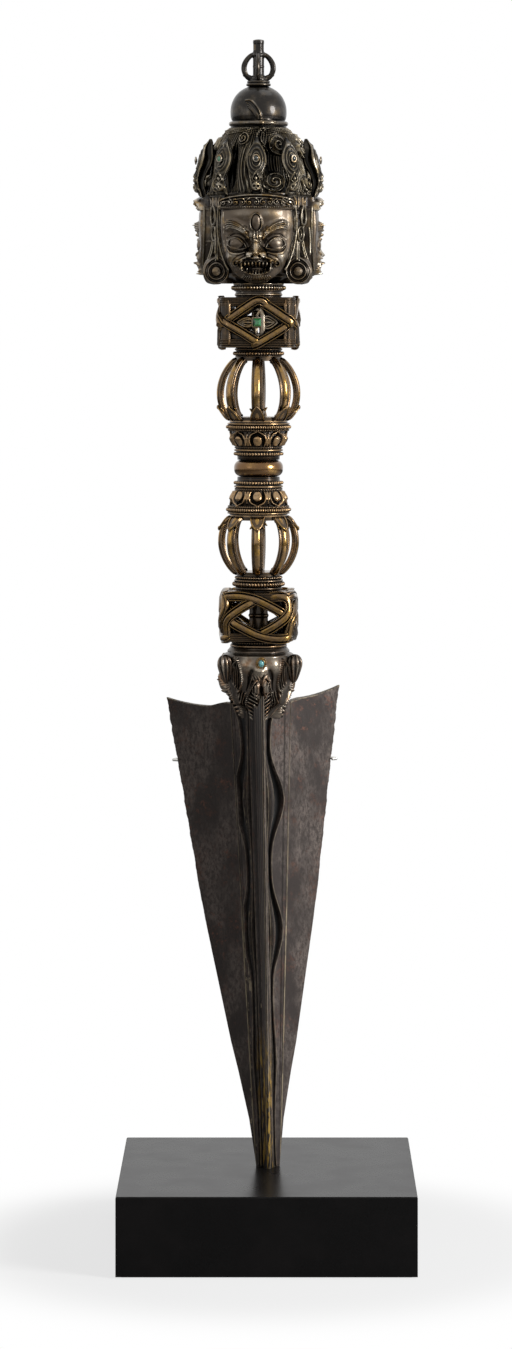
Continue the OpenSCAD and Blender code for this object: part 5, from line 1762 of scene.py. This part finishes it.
@dataclass
class TripleHead:
    """Cast head with three wrathful faces: bulging eyes, flaming brows, a third eye and an open fanged mouth."""

    columns: int = 420
    rows: int = 330
    top: float = 27.2
    reach: float = 21.9

    def half_width(self, z: Array) -> Array:
        """Half-width of a face at each height above the chin."""
        return eased(z, [0, 1, 3, 6, 11, 16, 21, 27], [3.2, 5.2, 8.0, 10.3, 12.1, 13.1, 13.4, 13.0])

    def carve(self, d: Array, z: Array) -> tuple[Array, Array]:
        """Shape of one face.

        Args:
            d: degrees from the middle of the face.
            z: height above the chins.

        Returns:
            The radius, and how rubbed it is.
        """
        depth = eased(z, [0, 1, 2.6, 5, 9, 14, 20, 25, 27.2], [14.6, 18.2, 20.0, 20.8, 21.3, 21.2, 21.6, 21.3, 20.6])
        # The face is flatter than the circle that it stands on, and its jaw draws in at the sides
        u = self.reach * np.sin(np.radians(d))
        for _ in range(4):
            u = np.sin(np.radians(d)) * depth * self.rounding(u, z)
        temple = eased(z, [0, 1.5, 3, 6, 27], [6.8, 9.0, 12.6, 14.4, 14.6])
        w = self.half_width(z)
        inside = 1 / (1 + np.exp(np.clip((np.abs(u) - w) / 0.2, -40, 40)))
        round_off = self.rounding(u, z)
        face = self.features(u, z) * (1 - 0.9 * np.clip((np.abs(u) - 9.0) / 1.8, 0, 1))
        egg = np.exp(-((u / 1.6) ** 2 + ((z - 21.1) / 2.8) ** 2) ** 2)
        eyes = np.exp(-(((np.abs(u) - 6.7) / 2.4) ** 2 + ((z - 13.8) / 1.9) ** 2) ** 2)
        rub = (0.8 * np.tanh((face - 0.1) / 1.2) - 0.8 * egg - 0.55 * eyes) * inside - 0.9 * (1 - inside)
        temples = Relief(np.radians(np.abs(d) - 60) * 16, z)
        for n in range(4):
            temples.ridge([(-3.4 + n * 0.9, 27), (-2.4 + n * 0.5, 20), (-2.8 + n * 0.8, 12), (-3.6 + n, 5)], 0.25, 0.45)
        return temple + temples.h * (1 - inside) + (depth * round_off - temple + face) * inside, rub

    def rounding(self, u: Array, z: Array) -> Array:
        """Share of the depth that is left at each place across the face."""
        side = np.abs(u / 13.5)
        return 1 - 0.05 * side ** 3 - 0.13 * side ** 2 * np.clip((11 - z) / 8, 0, 1)

    def features(self, u: Array, z: Array) -> Array:
        """Relief of one face.

        Args:
            u: mm across from its middle.
            z: mm above the chin.

        Returns:
            Height of the relief in mm.
        """
        f = Relief(u, z)
        # Forehead, cheeks and chin
        f.dome(4.6, 24.4, 6.0, 2.6, 0.5, pair=True)
        f.dome(8.3, 9.0, 3.2, 2.9, 1.5, pair=True)
        f.dome(0.6, 1.6, 3.2, 1.3, 0.9)
        f.dome(10.8, 16.5, 1.8, 4.0, 0.6, pair=True)
        # Eye sockets, balls, lids and bags
        f.dome(6.6, 13.8, 3.7, 2.3, -0.25, 3, 8, pair=True)
        f.dome(3.2, 13.2, 1.2, 1.9, -0.4, pair=True)
        f.boss(6.7, 13.8, 2.5, 2.0, 1.7, pair=True)
        f.ridge([(3.3, 12.2), (4.4, 14.2), (5.9, 15.5), (7.6, 15.8), (9.3, 14.8), (10.2, 13.0)], 0.36, 1.0, pair=True)
        f.ridge([(4.0, 15.6), (5.8, 16.8), (8.0, 17.0), (10.2, 15.4)], 0.26, -0.35, pair=True)
        f.ridge([(3.5, 12.0), (5.4, 11.7), (7.8, 11.9), (9.8, 13.1)], 0.3, 0.6, pair=True)
        f.ridge([(3.8, 10.6), (6.0, 10.0), (8.6, 10.5), (10.6, 12.2)], 0.45, 0.6, pair=True)
        f.ridge([(3.4, 11.2), (5.8, 10.7), (8.6, 11.2), (10.2, 12.6)], 0.24, -0.55, pair=True)
        # Combed brows rise outward, and curl in flames at the root of the nose
        brow = [(2.4, 16.2), (3.8, 17.8), (6.0, 19.4), (8.6, 20.3), (11.0, 19.8)]
        f.ridge(brow, 1.5, 1.3, 3, pair=True)
        for n, shift in enumerate((-1.15, -0.4, 0.4, 1.15)):
            f.ridge([(x + 0.25 * shift, y + shift) for x, y in brow], 0.24, 0.5 + 0.1 * n, pair=True)
        for x, y in ((2.6, 15.6), (2.9, 17.4), (3.9, 19.2)):
            f.boss(x, y, 0.7, 0.75, 1.0, pair=True)
        for n in range(4):
            f.ridge([(9.0 + 0.7 * n, 20.6 - 0.2 * n), (9.5 + 0.7 * n, 21.8 - 0.3 * n)], 0.2, 0.5, pair=True,
                curve=False)
        # Third eye: a smooth upright egg in a thin rim, on a stem from the nose
        egg = [(-0.2, 17.6), (-1.7, 19.1), (-2.0, 21.3), (-1.2, 23.5), (0, 24.3), (1.2, 23.5), (2.0, 21.3), (1.7, 19.1),
            (0.2, 17.6)]
        f.ridge(egg, 0.26, 0.8)
        f.boss(0, 21.1, 1.6, 2.8, 1.15)
        f.ridge([(0.5, 17.8), (0.6, 15.2)], 0.3, 1.0, curve=False, pair=True)
        # Nose: a bright narrow bridge, a broad tip and flared wings
        f.ridge([(0, 16.8), (0, 13.6), (0, 10.6)], 1.3, 2.3)
        f.dome(0, 11.6, 2.3, 4.2, 1.7)
        f.dome(0, 9.7, 1.9, 1.7, 2.1)
        f.boss(2.4, 9.9, 1.4, 1.3, 1.9, pair=True)
        f.dome(1.2, 9.0, 0.42, 0.34, -1.0, pair=True)
        f.ridge([(2.0, 12.6), (3.2, 11.2), (3.7, 9.6)], 0.26, -0.7, pair=True)
        for y in (13.9, 15.0):
            f.ridge([(-1.3, y), (0, y + 0.3), (1.3, y)], 0.18, -0.35)
        # Folds from the nose round the mouth
        f.ridge([(4.2, 10.2), (6.2, 9.2), (7.9, 7.4), (8.4, 5.0), (7.2, 2.8)], 0.34, -0.25, pair=True)
        # Open mouth with teeth and hooked fangs
        f.dome(0.2, 5.1, 4.6, 1.5, -1.0, 5)
        f.boss(0.2, 4.7, 2.4, 0.9, 0.9)
        f.ridge([(-6.0, 7.3), (-4.2, 8.4), (-2.2, 8.8), (0, 8.3), (2.2, 8.8), (4.2, 8.4), (6.0, 7.3)], 0.58, 1.7)
        f.ridge([(-5.4, 6.8), (-3.6, 7.5), (0, 7.3), (3.6, 7.5), (5.4, 6.8)], 0.3, 0.9)
        f.ridge(spiral_line(6.7, 6.5, 1.15, 1.3, -1, 140), 0.27, 1.1, pair=True, curve=False)
        for n in range(-3, 4):
            f.boss(n * 1.16, 6.35, 0.54, 1.05, 2.5)
        f.ridge([(4.5, 7.2), (4.7, 5.8), (4.2, 4.4)], 0.5, 2.4, pair=True)
        for n in range(-3, 4):
            f.boss(n * 1.0, 3.7, 0.46, 0.7, 1.5)
        f.ridge([(3.3, 3.6), (3.1, 4.8)], 0.38, 1.7, pair=True, curve=False)
        f.ridge([(-5.4, 5.0), (-3.6, 3.5), (0, 2.8), (3.6, 3.5), (5.4, 5.0)], 0.46, 1.35)
        for n in range(-6, 7):
            f.ridge([(n * 0.75, 2.2), (n * 0.9, 1.2), (n * 0.8, 0.3)], 0.2, 0.5)
        return f.h

    def ribbons(self, form: Form, lift: float) -> None:
        """Adds the cords at the faces' edges and the scarf ribbons between the faces.

        Args:
            form: where they go.
            lift: height of the chins.
        """
        def at(degrees: float, r: float, z: float) -> tuple[float, float, float]:
            """Point at an angle from the front, a radius and a height."""
            a = math.radians(degrees)
            return r * math.sin(a), -r * math.cos(a), z

        for side in (-1, 1):
            z = np.linspace(4.6, 27.2, 44)
            w = self.half_width(z) + 0.5
            rim = np.stack([side * w, -np.sqrt(np.clip(19.6 ** 2 - w ** 2, 1, None)), z], -1)
            form.tube(rim, 0.36, 10)
            ribbon = [at(60 - side * 10, 17.6, 26.8), at(60 - side * 11, 17.4, 22.0), at(60 - side * 9, 17.0, 18.6)]
            form.tube(smooth_line(ribbon), 0.32, 8)
            fall = [at(60 + side * 6.5, 17.3, 15.0), at(60 + side * 8.6, 17.8, 11.6), at(60 + side * 11.5, 18.6, 8.2)]
            form.tube(smooth_line(fall), 0.42, 8)
            fall = [at(60 + side * 3.6, 17.3, 14.6), at(60 + side * 5.4, 17.8, 11.0), at(60 + side * 8.0, 18.6, 7.8)]
            form.tube(smooth_line(fall), 0.3, 8)
        b = circle(40)
        form.tube([at(60 + 6.6 * math.cos(t), 17.6, 17.4 + 2.5 * math.sin(t)) for t in b], 0.46, 10, closed=True)
        form.tube([at(60 + 3.8 * math.cos(t), 17.2, 17.4 + 1.35 * math.sin(t)) for t in b], 0.26, 8, closed=True)
        form.tube([at(62 + 5.0 * math.cos(t) * (1 - 0.3 * math.sin(t)), 18.4, 23.8 + 3.3 * math.sin(t)) for t in b],
            0.44, 10, closed=True)
        form.blob(at(62, 17.4, 23.4), (0.9, 0.9, 1.9), 60)
        upright = [at(70, 19.2, 19.6), at(71.5, 19.4, 15.0), at(71, 19.4, 10.2)]
        form.tube(smooth_line(upright), 0.5, 10)
        form.round_hilt([HILT_TURN + step for step in THREE], lift)

    def build(self) -> None:
        """Makes the head with its ribbons."""
        lift = span("head")[0]
        form = Form()
        self.ribbons(form, lift)
        place(form, "scarf_ribbons", HAIR, Slot.HEAD)
        form = Form()
        d, z = sector(self.columns, self.rows, 0, self.top)
        r, rub = self.carve(d, z)
        form.hoop(ring_of_faces(d, z, r, HILT_TURN, lift), rub=np.tile(rub, (1, 3)))
        place(form, "three_faces", FACE, Slot.HEAD, "head")


@dataclass
class Earrings:
    """Coiled discs beside the faces, back to back in pairs."""

    radius: float = 4.6
    spread: float = 14.4

    def build(self) -> None:
        """Makes the six discs."""
        z0, z1, _ = span("earrings")
        plane = (self.spread + self.radius) * math.tan(math.radians(30)) + 0.15
        form = Form()
        q, a = np.meshgrid(np.linspace(0.02, 1, 70), circle(96), indexing="ij")
        waves = np.cos(2 * np.pi * q * 3.3) * np.clip(q * 4 - 0.9, 0, 1)
        relief = 0.4 * waves - 0.7 * q ** 2
        relief += 1.0 * np.sqrt(np.clip(1 - (q / 0.36) ** 2, 0, 1)) - 1.2 * np.clip(q - 0.93, 0, 1) / 0.07
        for side in (-1, 1):
            x, z = side * self.spread + self.radius * q * np.cos(a), self.radius * q * np.sin(a)
            tail = np.clip(np.sin(a), 0, 1) ** 6 * q ** 3
            front = np.stack([x - side * tail * 0.6, -(plane + 0.55 + relief), z + tail * 1.0], -1)
            back = np.stack([x[-1], np.full(96, -(plane - 1.75)), z[-1]], -1)
            rub = np.vstack([np.where(q < 0.3, 0.3, 0.7 * waves - 0.3), np.full((1, 96), -0.5)])
            form.hoop(np.concatenate([front, back[None]]), rub=rub)
        form.round_hilt([HILT_TURN + step for step in THREE], (z0 + z1) / 2)
        place(form, "coiled_earrings", FACE, Slot.HEAD, "earrings")


@dataclass
class Crown:
    """Arched and jewelled headband with nine teardrop leaves."""

    columns: int = 420
    rows: int = 60
    leaf_height: float = 20.6
    leaf_step: float = 36.0

    def band(self) -> None:
        """Makes the headband: a double cord arched over each face above a row of scrolls."""
        z0, _, h = span("crown_band")
        d, z = sector(self.columns, self.rows, -0.6, h + 0.9)
        side = 1 / (1 + np.exp((np.abs(d) - 39.5) / 1.4))
        u = 21.9 * np.radians(d)
        # The band bows up over the middle of the face; above it the hair begins
        bow = 4.9 - 1.5 * np.clip(np.abs(u) / 13.2, 0, 1) ** 3 - 3.2 * np.clip((np.abs(u) - 12.6) / 2.4, 0, 1) ** 2
        under = 1 / (1 + np.exp(np.clip((z - bow) / 0.12, -40, 40)))
        base = 17.4 + (21.9 - 17.4) * side * (0.74 + 0.26 * under)
        cut = Relief(u, z)
        for n in range(-6, 7):
            x = n * 2.35
            if abs(x) < 13:
                cut.ridge(spiral_line(x, 1.75, 0.98, 1.2, 1 if n % 2 else -1, 90), 0.24, 1.15, curve=False)
                cut.boss(x, 1.75, 0.36, 0.36, 1.2)
        cut.ridge([(-14.8, 0.1), (14.8, 0.1)], 0.28, 0.6, curve=False, beads=0.8)
        arch = [(-14.9, -0.4), (-14.4, 1.2), (-12.9, 2.6), (-8, 3.7), (0, 4.3), (8, 3.7), (12.9, 2.6), (14.4, 1.2),
            (14.9, -0.4)]
        cut.ridge(arch, 0.42, 1.3)
        cut.ridge([(x * 0.965, y - 1.0) for x, y in arch], 0.26, 0.85)
        cut.ridge([(18.4, 0.2), (19.4, 2.2), (18.2, 4.0)], 0.6, 0.9, pair=True)
        cut.ridge([(21.2, 0.4), (21.2, 4.2)], 0.7, 0.8, pair=True, curve=False)
        r = np.minimum(base + cut.h - 0.35, 23.2)
        form = Form()
        rub = np.tile(np.clip(cut.h / 0.55 - 0.4 - 0.5 * (1 - under), -1, 1), (1, 3))
        form.hoop(ring_of_faces(d, z, r, HILT_TURN, z0), rub=rub)
        place(form, "jewelled_headband", FACE, Slot.HEAD, "crown_band")

    def leaf(self) -> Form:
        """One leaf, standing at y = -radius on the origin's far side.

        Returns:
            The leaf's form, with z from its foot.
        """
        h = self.leaf_height
        v, s = np.meshgrid(np.linspace(0, 1, 120), np.linspace(-1, 1, 49), indexing="ij")
        half = eased(v, [0, 0.1, 0.2, 0.3, 0.42, 0.55, 0.68, 0.8, 0.9, 1.0],
            [2.3, 2.3, 1.7, 1.7, 2.7, 3.5, 3.4, 2.2, 1.0, 0.35])
        z = v * h
        u = s * half
        cut = Relief(u, z)
        zc, up, down = 12.4, 6.9, 6.2
        q = np.sqrt((u / 3.75) ** 2 + np.where(z > zc, (z - zc) / up, (z - zc) / down) ** 2)
        lines = ((0.5, 0.86, 0.085), (0.42, 0.6, 0.07), (0.34, 0.38, 0.05))
        rings = sum(height * np.exp(-((q - at) / width) ** 2) for height, at, width in lines) - 0.18
        rings *= np.clip((z - 6.2) / 1.5, 0, 1)
        # A small skull under a bright drop at the foot
        cut.boss(0, 2.9, 1.75, 1.75, 1.5)
        cut.dome(0.68, 3.1, 0.42, 0.45, -1.2, pair=True)
        cut.dome(0, 2.3, 0.28, 0.3, -0.8)
        cut.ridge([(-0.8, 1.4), (0, 1.25), (0.8, 1.4)], 0.2, -0.6)
        cut.ridge([(0, 4.6), (-1.25, 5.4), (-0.75, 6.9), (0, 8.1), (0.75, 6.9), (1.25, 5.4), (0, 4.6)], 0.26, 0.75)
        cut.boss(0, 5.8, 0.7, 0.9, 1.1)
        cut.ridge([(2.1, 0.4), (1.7, 1.6), (1.9, 3.0)], 0.3, 0.5, pair=True)
        relief = rings + cut.h + 0.2 * (1 - np.abs(s)) * np.clip((z - 6) / 2, 0, 1)
        out = eased(v, [0, 0.1, 0.2, 0.4, 0.55, 0.7, 0.85, 1.0], [21.5, 22.2, 22.7, 22.9, 22.4, 21.6, 20.2, 18.1])
        bow = 0.1 * u ** 2
        face_y = out - 0.65 - bow + relief * np.clip((1.02 - np.abs(s)) * 7, 0, 1)
        # Seen from the side the leaf is a thick shell: two lips with a hollow between them
        thick = eased(v, [0, 0.12, 0.28, 0.45, 0.62, 0.8, 0.92, 1.0], [1.6, 2.2, 2.6, 3.4, 3.9, 3.4, 2.2, 0.8])[:, :1]
        lips = np.array([[1.0, 0.0], [1.0, 0.1], [0.9, 0.2], [0.55, 0.26], [0.36, 0.42], [0.3, 0.64], [0.42, 0.8],
            [0.5, 0.9], [0.4, 0.98]])
        edge_u, edge_y = half[:, -1:], face_y[:, -1:]
        rim_u, rim_y = edge_u * lips[None, :, 0], edge_y - thick * lips[None, :, 1]
        back_s = np.linspace(0.32, -0.32, 9)[None, :]
        back_y = edge_y - thick * (1 + 0.12 * (1 - back_s ** 2))
        line_u = np.concatenate([u, rim_u, edge_u * back_s, -rim_u[:, ::-1]], axis=1)
        line_y = np.concatenate([face_y, rim_y, back_y, rim_y[:, ::-1]], axis=1)
        rub = np.full(line_u.shape, -0.55)
        rub[:, :u.shape[1]] = np.clip((rings + 0.5 * cut.h) / 0.45 - 0.35, -1, 1)
        rub[:, u.shape[1]:u.shape[1] + 2] = rub[:, -2:] = 0.7
        form = Form()
        form.hoop(np.stack([line_u, -line_y, np.broadcast_to(z[:, :1], line_u.shape)], -1), rub=rub)
        return form

    def leaves(self) -> None:
        """Makes the nine leaves, their settings and stones."""
        z0 = span("crown_leaves")[0]
        turns = [HILT_TURN + step + s * self.leaf_step for step in THREE for s in (-1, 0, 1)]
        form = self.leaf()
        form.round_hilt(turns, z0)
        place(form, "teardrop_leaves", HAIR, Slot.HEAD, "crown_leaves")
        rims, stones = Form(), Form()
        ring = circle(28)
        y, z = -22.3, z0 + 12.9
        rims.tube(np.stack([0.95 * np.cos(ring), 0 * ring + y, z + 1.15 * np.sin(ring)], -1), 0.3, 8, closed=True)
        # Only the stone to the left of the front is pale
        pale = Form()
        for made in (stones, pale):
            made.blob((0, y + 0.05, z), (0.78, 0.55, 0.95), sides=20)
        rims.round_hilt(turns)
        stones.round_hilt(turns[1:])
        pale.round_hilt(turns[:1])
        place(rims, "leaf_settings_rims", FACE, Slot.HEAD, "leaf_bezels")
        place(stones, "dark_leaf_stones", DARK_STONE, Slot.GREEN, "leaf_stones")
        place(pale, "green_leaf_stone", PALE_STONE, Slot.GREEN)


@dataclass
class HairMound:
    """Piled hair: combed strands, coiled locks and a thin curl from each middle leaf."""

    columns: int = 420
    rows: int = 260

    def build(self) -> None:
        """Makes the hair."""
        z0, _, h = span("hair_mound")
        d, z = sector(self.columns, self.rows, -0.2, h)
        base = eased(z / h, [0, 0.15, 0.35, 0.55, 0.72, 0.87, 1.0], [18.4, 17.6, 16.9, 15.8, 14.3, 12.4, 10.2])
        u = np.radians(d) * 16
        cut, locks = Relief(u, z), Relief(u, z)
        # Strands comb upward and lean to the lock that they join
        lean = 1.1 * np.sin(z / 6.5) + 0.35 * np.sin(u * 0.9)
        strands = 0.24 * np.sin(2 * np.pi * (u + lean) / 0.9) * np.clip(z / 2, 0, 1)
        cut.dome(-4.6, 11, 2.0, 9.5, 1.7, 3)
        cut.dome(4.6, 12.5, 2.4, 6.0, -3.0, 4)
        cut.dome(-8.6, 10, 1.7, 7.5, -3.0, 4)
        cut.dome(11.6, 9, 2.4, 8, -2.6, 4)
        for cu, cv, size, hand, start in ((5.6, 5.0, 3.7, 1, 200), (8.4, 18.2, 4.2, -1, 30), (-5.4, 20.4, 2.5, 1, 160),
            (-12.6, 16.4, 2.8, -1, 20), (-13.4, 4.4, 3.0, 1, 150)):
            cut.boss(cu, cv, size, size, 1.1)
            strands *= 1 - np.exp(-(((u - cu) ** 2 + (z - cv) ** 2) / size ** 2) ** 2)
            locks.ridge(spiral_line(cu, cv, size, 2.3, hand, start), 0.3, 1.0, curve=False)
        for n in range(5):
            locks.ridge([(-20, 21.6 + n * 0.7), (-8, 22.7 + n * 0.55), (2, 21.3 + n * 0.78), (12, 22.7 + n * 0.55),
                (20, 21.6 + n * 0.7)], 0.22, 0.5)
        for n in range(-8, 9):
            cut.boss(n * 2.0, 0.9, 0.75, 0.75, 0.9)
        # The middle leaf's edge runs on as a curl up to the dome's lip
        curl = [(4.4, 25.0), (1.6, 23.4), (0.2, 21.4), (0.2, 19.6), (1.6, 17.4), (3.4, 14.6), (3.6, 11.0)]
        locks.ridge(curl, 0.5, 1.7)
        locks.ridge([(5.6, 24.2), (2.9, 22.8), (1.6, 20.8), (2.2, 18.6), (4.6, 15.4)], 0.3, 1.1)
        r = base + (cut.h + locks.h + strands) * np.clip((h - z) / 0.9, 0, 1)
        form = Form()
        rub = np.tile(np.clip(strands * 2.2 + np.clip(cut.h, -2, 0.3) * 0.75 + locks.h * 1.2 - 0.1, -1, 1), (1, 3))
        form.hoop(ring_of_faces(d, z, r, HILT_TURN, z0), rub=rub)
        place(form, "piled_hair", HAIR, Slot.HEAD, "hair_mound")


# Dome and finial


@dataclass
class TopknotDome:
    """Smooth dome with a thin lip and one raised lock of hair."""

    lip_height: float = 2.4

    def build(self) -> None:
        """Makes the dome."""
        z0, _, h = span("topknot_dome")
        rows = np.concatenate([np.linspace(0, self.lip_height, 26), np.linspace(self.lip_height + 0.1, h, 90)])
        z, a = np.meshgrid(rows, np.linspace(0, 360, 300, endpoint=False) + 0.37, indexing="ij")
        r = eased(z, [2.2, 2.9, 4.0, 5.6, 7.2, 8.8, 10.2, 11.4, 12.6, 13.5, 14.2, 14.6],
            [9.2, 9.62, 9.9, 9.96, 9.85, 9.45, 8.85, 8.1, 7.0, 5.8, 4.5, 3.3])
        lip = 9.7 + 0.85 * np.sqrt(np.clip(1 - ((z - 1.35) / 0.85) ** 2, 0, 1))
        r = np.where(z < 2.3, np.where(z < 0.5, 9.9 - 0.2 * (0.5 - z), lip), r)
        d = (a - FRONT + 180) % 360 - 180
        cut = Relief(np.radians(d) * 9.9, z)
        cut.ridge([(-4.9, 9.3), (-2.8, 9.2), (-0.7, 7.2), (0.6, 4.6), (1.1, 1.2)], 0.3, 0.7)
        for n in range(3):
            cut.ridge([(-4.4 + 0.5 * n, 8.4 - n * 0.9), (-2.9 + 0.3 * n, 7.6 - n), (-1.2, 5.6 - n * 0.8),
                (0.1, 3.6 - n * 0.5)], 0.2, 0.3)
        cut.ridge([(1.2, 2.6), (3.6, 2.4), (6.2, 1.8)], 0.3, 0.4)
        cut.dome(-0.6, 1.6, 2.0, 1.1, 0.5, 3)
        r = r + np.minimum(cut.h, np.maximum(10.5 - r, 0.35))
        form = Form()
        rub = np.where(z < self.lip_height, np.clip((r - 10.1) * 2.2, -0.8, 0.7), np.clip(cut.h * 1.6, -0.5, 0.6))
        form.hoop(around(r, np.radians(a), z0 + z), rub=rub)
        place(form, "smooth_dome", DOME, Slot.DOME, "topknot_dome")


@dataclass
class FinialVajra:
    """Half-vajra of four curved prongs about a grooved post."""

    radius: float = 5.9

    def build(self) -> None:
        """Makes the finial and the collar under it."""
        rings = ((0.3, 4.4, 0.55, 0), (0.76, 4.1, 0.42, 0))
        Collar("finial_collar", "finial_ring", ((0, 3.7, 1, 3.4),), rings, DOME, Slot.DOME, 128, 0.08).build()
        z0, top = span("finial_collar")[1], span("finial_vajra")[1]
        form = Form()
        u = np.linspace(0, 1, 34)
        edge = 2.9 - 1.0 * u + (self.radius - 2.4 - 0.75) * np.sin(np.pi * u) ** 0.65
        path = np.stack([0 * u, -edge, z0 + 0.5 + 8.7 * u], -1)
        a = circle(14)
        form.sweep(path, np.stack([0.95 * np.cos(a), 0.72 * np.sin(a)], -1), 0.9 + 0.2 * np.sin(np.pi * u))
        form.tube([(0, -2.9, z0 + 1.0), (0, -4.6, z0 + 1.9), (0, -5.4, z0 + 1.7)], [0.9, 0.7, 0.35], 10)
        form.round_hilt([HILT_TURN + 90 * k for k in range(4)])
        post = Turned(z0, top).wall(z0, 3.1, z0 + 1.0, 2.9).wall(z0 + 1.0, 1.9, z0 + 9.4, 1.5)
        post.wall(z0 + 9.0, 1.5, top - 0.3, 1.3)
        post.ring(z0 + 1.4, 2.4, 0.5).ring(z0 + 4.9, 2.1, 0.9).ring(z0 + 9.0, 2.3, 0.6)
        post.ring(z0 + 10.1, 1.85, 0.4).ring(top - 1.0, 1.75, 0.75)

        def flute(angle: Array, z: Array, r: Array, rub: Array) -> tuple[Array, Array]:
            """Cuts grooves in the spike and rounds its tip."""
            grooved = r - 0.12 * np.abs(np.cos(np.radians(angle * 4))) * ((z > z0 + 10.4) & (z < top - 1.6))
            return grooved * np.clip((top - z) / 0.5 + 0.35, 0, 1), rub

        post.into(form, 96, 0.1, flute)
        place(form.fused(0.2, 1), "half_vajra", DOME, Slot.DOME, "finial_vajra")


# Stand and studio


@dataclass
class DisplayStand:
    """The black plinth with its felt, the rod and the two wire prongs."""

    def build(self) -> None:
        """Dresses the CAD nodes of the stand, whose shapes are right as they are."""
        dress("plinth", LACQUER)
        dress("felt_pad", FELT)
        dress("support_rod", ROD)
        dress("left_prong", WIRE)
        dress("right_prong", WIRE)


@dataclass
class Studio:
    """Pale floor, soft lamps, white surroundings and the camera of the photograph."""

    floor_half: float = 3.0
    key: float = 17.0
    fill: float = 0.4
    ambient: float = 0.08
    paper: tuple[str, str] = ("#e9e9e9", "#efefef")
    # The photograph's height and its lens's focal length in its pixels, and the height of the film in mm
    picture: float = 1349.0
    focal: float = 4046.0
    film: float = 36.0
    # The camera's place in m, and the shift of its film as shares of the film's height
    stands_at: tuple[float, float, float] = (3.9 * MM, -1.436, 322.8 * MM)
    shift: tuple[float, float] = (-0.0163, -0.2515)

    def floor(self) -> None:
        """Makes the floor: it shades to plain white away from the object, so that only the soft shadow shows."""
        xs = np.linspace(-self.floor_half, self.floor_half, 24)
        x, y = np.meshgrid(xs, xs, indexing="ij")
        form = Form()
        form.grid(np.stack([x, y, 0 * x], -1))
        mesh = form.mesh("studio_floor", 1.0)
        material, add = new_material("paper_floor")
        distance = add("VectorMath", {"operation": "LENGTH"}, {0: (add("TexCoord"), "Object")})
        away = add("MapRange", smooth(0.07, 0.15), {"Value": distance})
        colours = between(self.paper[0], self.paper[1])
        paper = add("BsdfDiffuse", {}, {"Color": add("Mix", colours, {"Factor": Mottle(2.0).made(add)})})
        white = add("Emission", {"Strength": 1.0})
        share = add("MapRange", smooth(0.0, 1.0, 0.75, 1.0), {"Value": away})
        seen = add("Math", TIMES, {0: share, 1: (add("LightPath"), "Is Camera Ray")})
        add("OutputMaterial", {}, {"Surface": add("MixShader", {}, {0: seen, 1: paper, 2: white})})
        mesh.materials.append(material)
        ground = bpy.data.objects.new("studio_floor", mesh)
        bpy.context.scene.collection.objects.link(ground)

    def lamp(self, name: str, place_at: Sequence[float], aim: Sequence[float], size: float, power: float) -> None:
        """Adds a soft area lamp.

        Args:
            name: the lamp's name.
            place_at: where it stands, m.
            aim: what it points at, m.
            size: its width, m.
            power: its power, W.
        """
        light = bpy.data.lights.new(name, "AREA")
        light.shape, light.size, light.energy = "DISK", size, power
        thing = bpy.data.objects.new(name, light)
        thing.location = place_at
        thing.rotation_euler = (Vector(aim) - Vector(place_at)).to_track_quat("-Z", "Y").to_euler()
        bpy.context.scene.collection.objects.link(thing)

    def world(self) -> None:
        """Sets a soft ambient light that the camera and mirrors see as white."""
        world = bpy.data.worlds.new("studio")
        world.use_nodes = True
        world.node_tree.nodes.clear()
        add = partial(add_node, world.node_tree)
        ray = add("LightPath")
        seen = add("Math", HIGHER, {0: (ray, "Is Camera Ray"), 1: (ray, "Is Glossy Ray")})
        seen = add("Math", HIGHER, {0: seen, 1: (ray, "Is Transmission Ray")})
        strength = add("MapRange", {"To Min": self.ambient, "To Max": 1.0}, {"Value": seen})
        sky = add("Background", {"Color": (1, 1, 1, 1)}, {"Strength": strength})
        add("OutputWorld", {}, {"Surface": sky})
        bpy.context.scene.world = world

    def camera(self) -> None:
        """Sets the level long-lens camera that the plinth's edges and the picture's proportions give."""
        eye = bpy.data.cameras.new("studio_camera")
        eye.sensor_fit, eye.sensor_height, eye.sensor_width = "VERTICAL", self.film, self.film
        eye.lens = self.focal / self.picture * self.film
        eye.shift_x, eye.shift_y = self.shift
        eye.clip_start, eye.clip_end = 0.05, 20.0
        thing = bpy.data.objects.new("studio_camera", eye)
        thing.location = self.stands_at
        thing.rotation_euler = (math.pi / 2, 0, 0)
        bpy.context.scene.collection.objects.link(thing)
        bpy.context.scene.camera = thing

    def build(self) -> None:
        """Makes the whole studio."""
        self.camera()
        self.world()
        self.floor()
        self.lamp("key", (1.12, -0.62, 0.6), (0, 0, 0.25), 0.5, self.key)
        self.lamp("fill", (-0.95, -0.95, 0.5), (0, 0, 0.3), 0.35, self.fill)
        self.lamp("top", (0.25, 0.1, 1.15), (0, 0, 0.25), 0.5, 2.5 * self.fill)
        bpy.context.scene.view_settings.view_transform = "Standard"


def main() -> None:
    logging.basicConfig(level=logging.INFO, format="%(message)s")
    Studio().build()
    DisplayStand().build()
    Blade().build()
    MakaraHead().build()
    WovenKnot("lower_knot", 12.25, LOWER_WEAVE, LOWER_WEB).build("lower_woven_knot")
    WovenKnot("upper_knot", 13.1, UPPER_WEAVE, UPPER_WEB, posts=True).build("upper_woven_knot")
    fillings = KnotFillings()
    fillings.post()
    fillings.settings()
    for collar in COLLARS:
        collar.build()
    GripBead().build()
    VajraCage("lower_cage", 14.2, False).build("lower_vajra_cage")
    VajraCage("upper_cage", 14.7, True).build("upper_vajra_cage")
    LotusSeat("lower_lotus", False).build("lower_lotus_seat")
    LotusSeat("upper_lotus", True).build("upper_lotus_seat")
    TripleHead().build()
    Earrings().build()
    crown = Crown()
    crown.band()
    crown.leaves()
    HairMound().build()
    TopknotDome().build()
    FinialVajra().build()


if __name__ == "__main__":
    main()
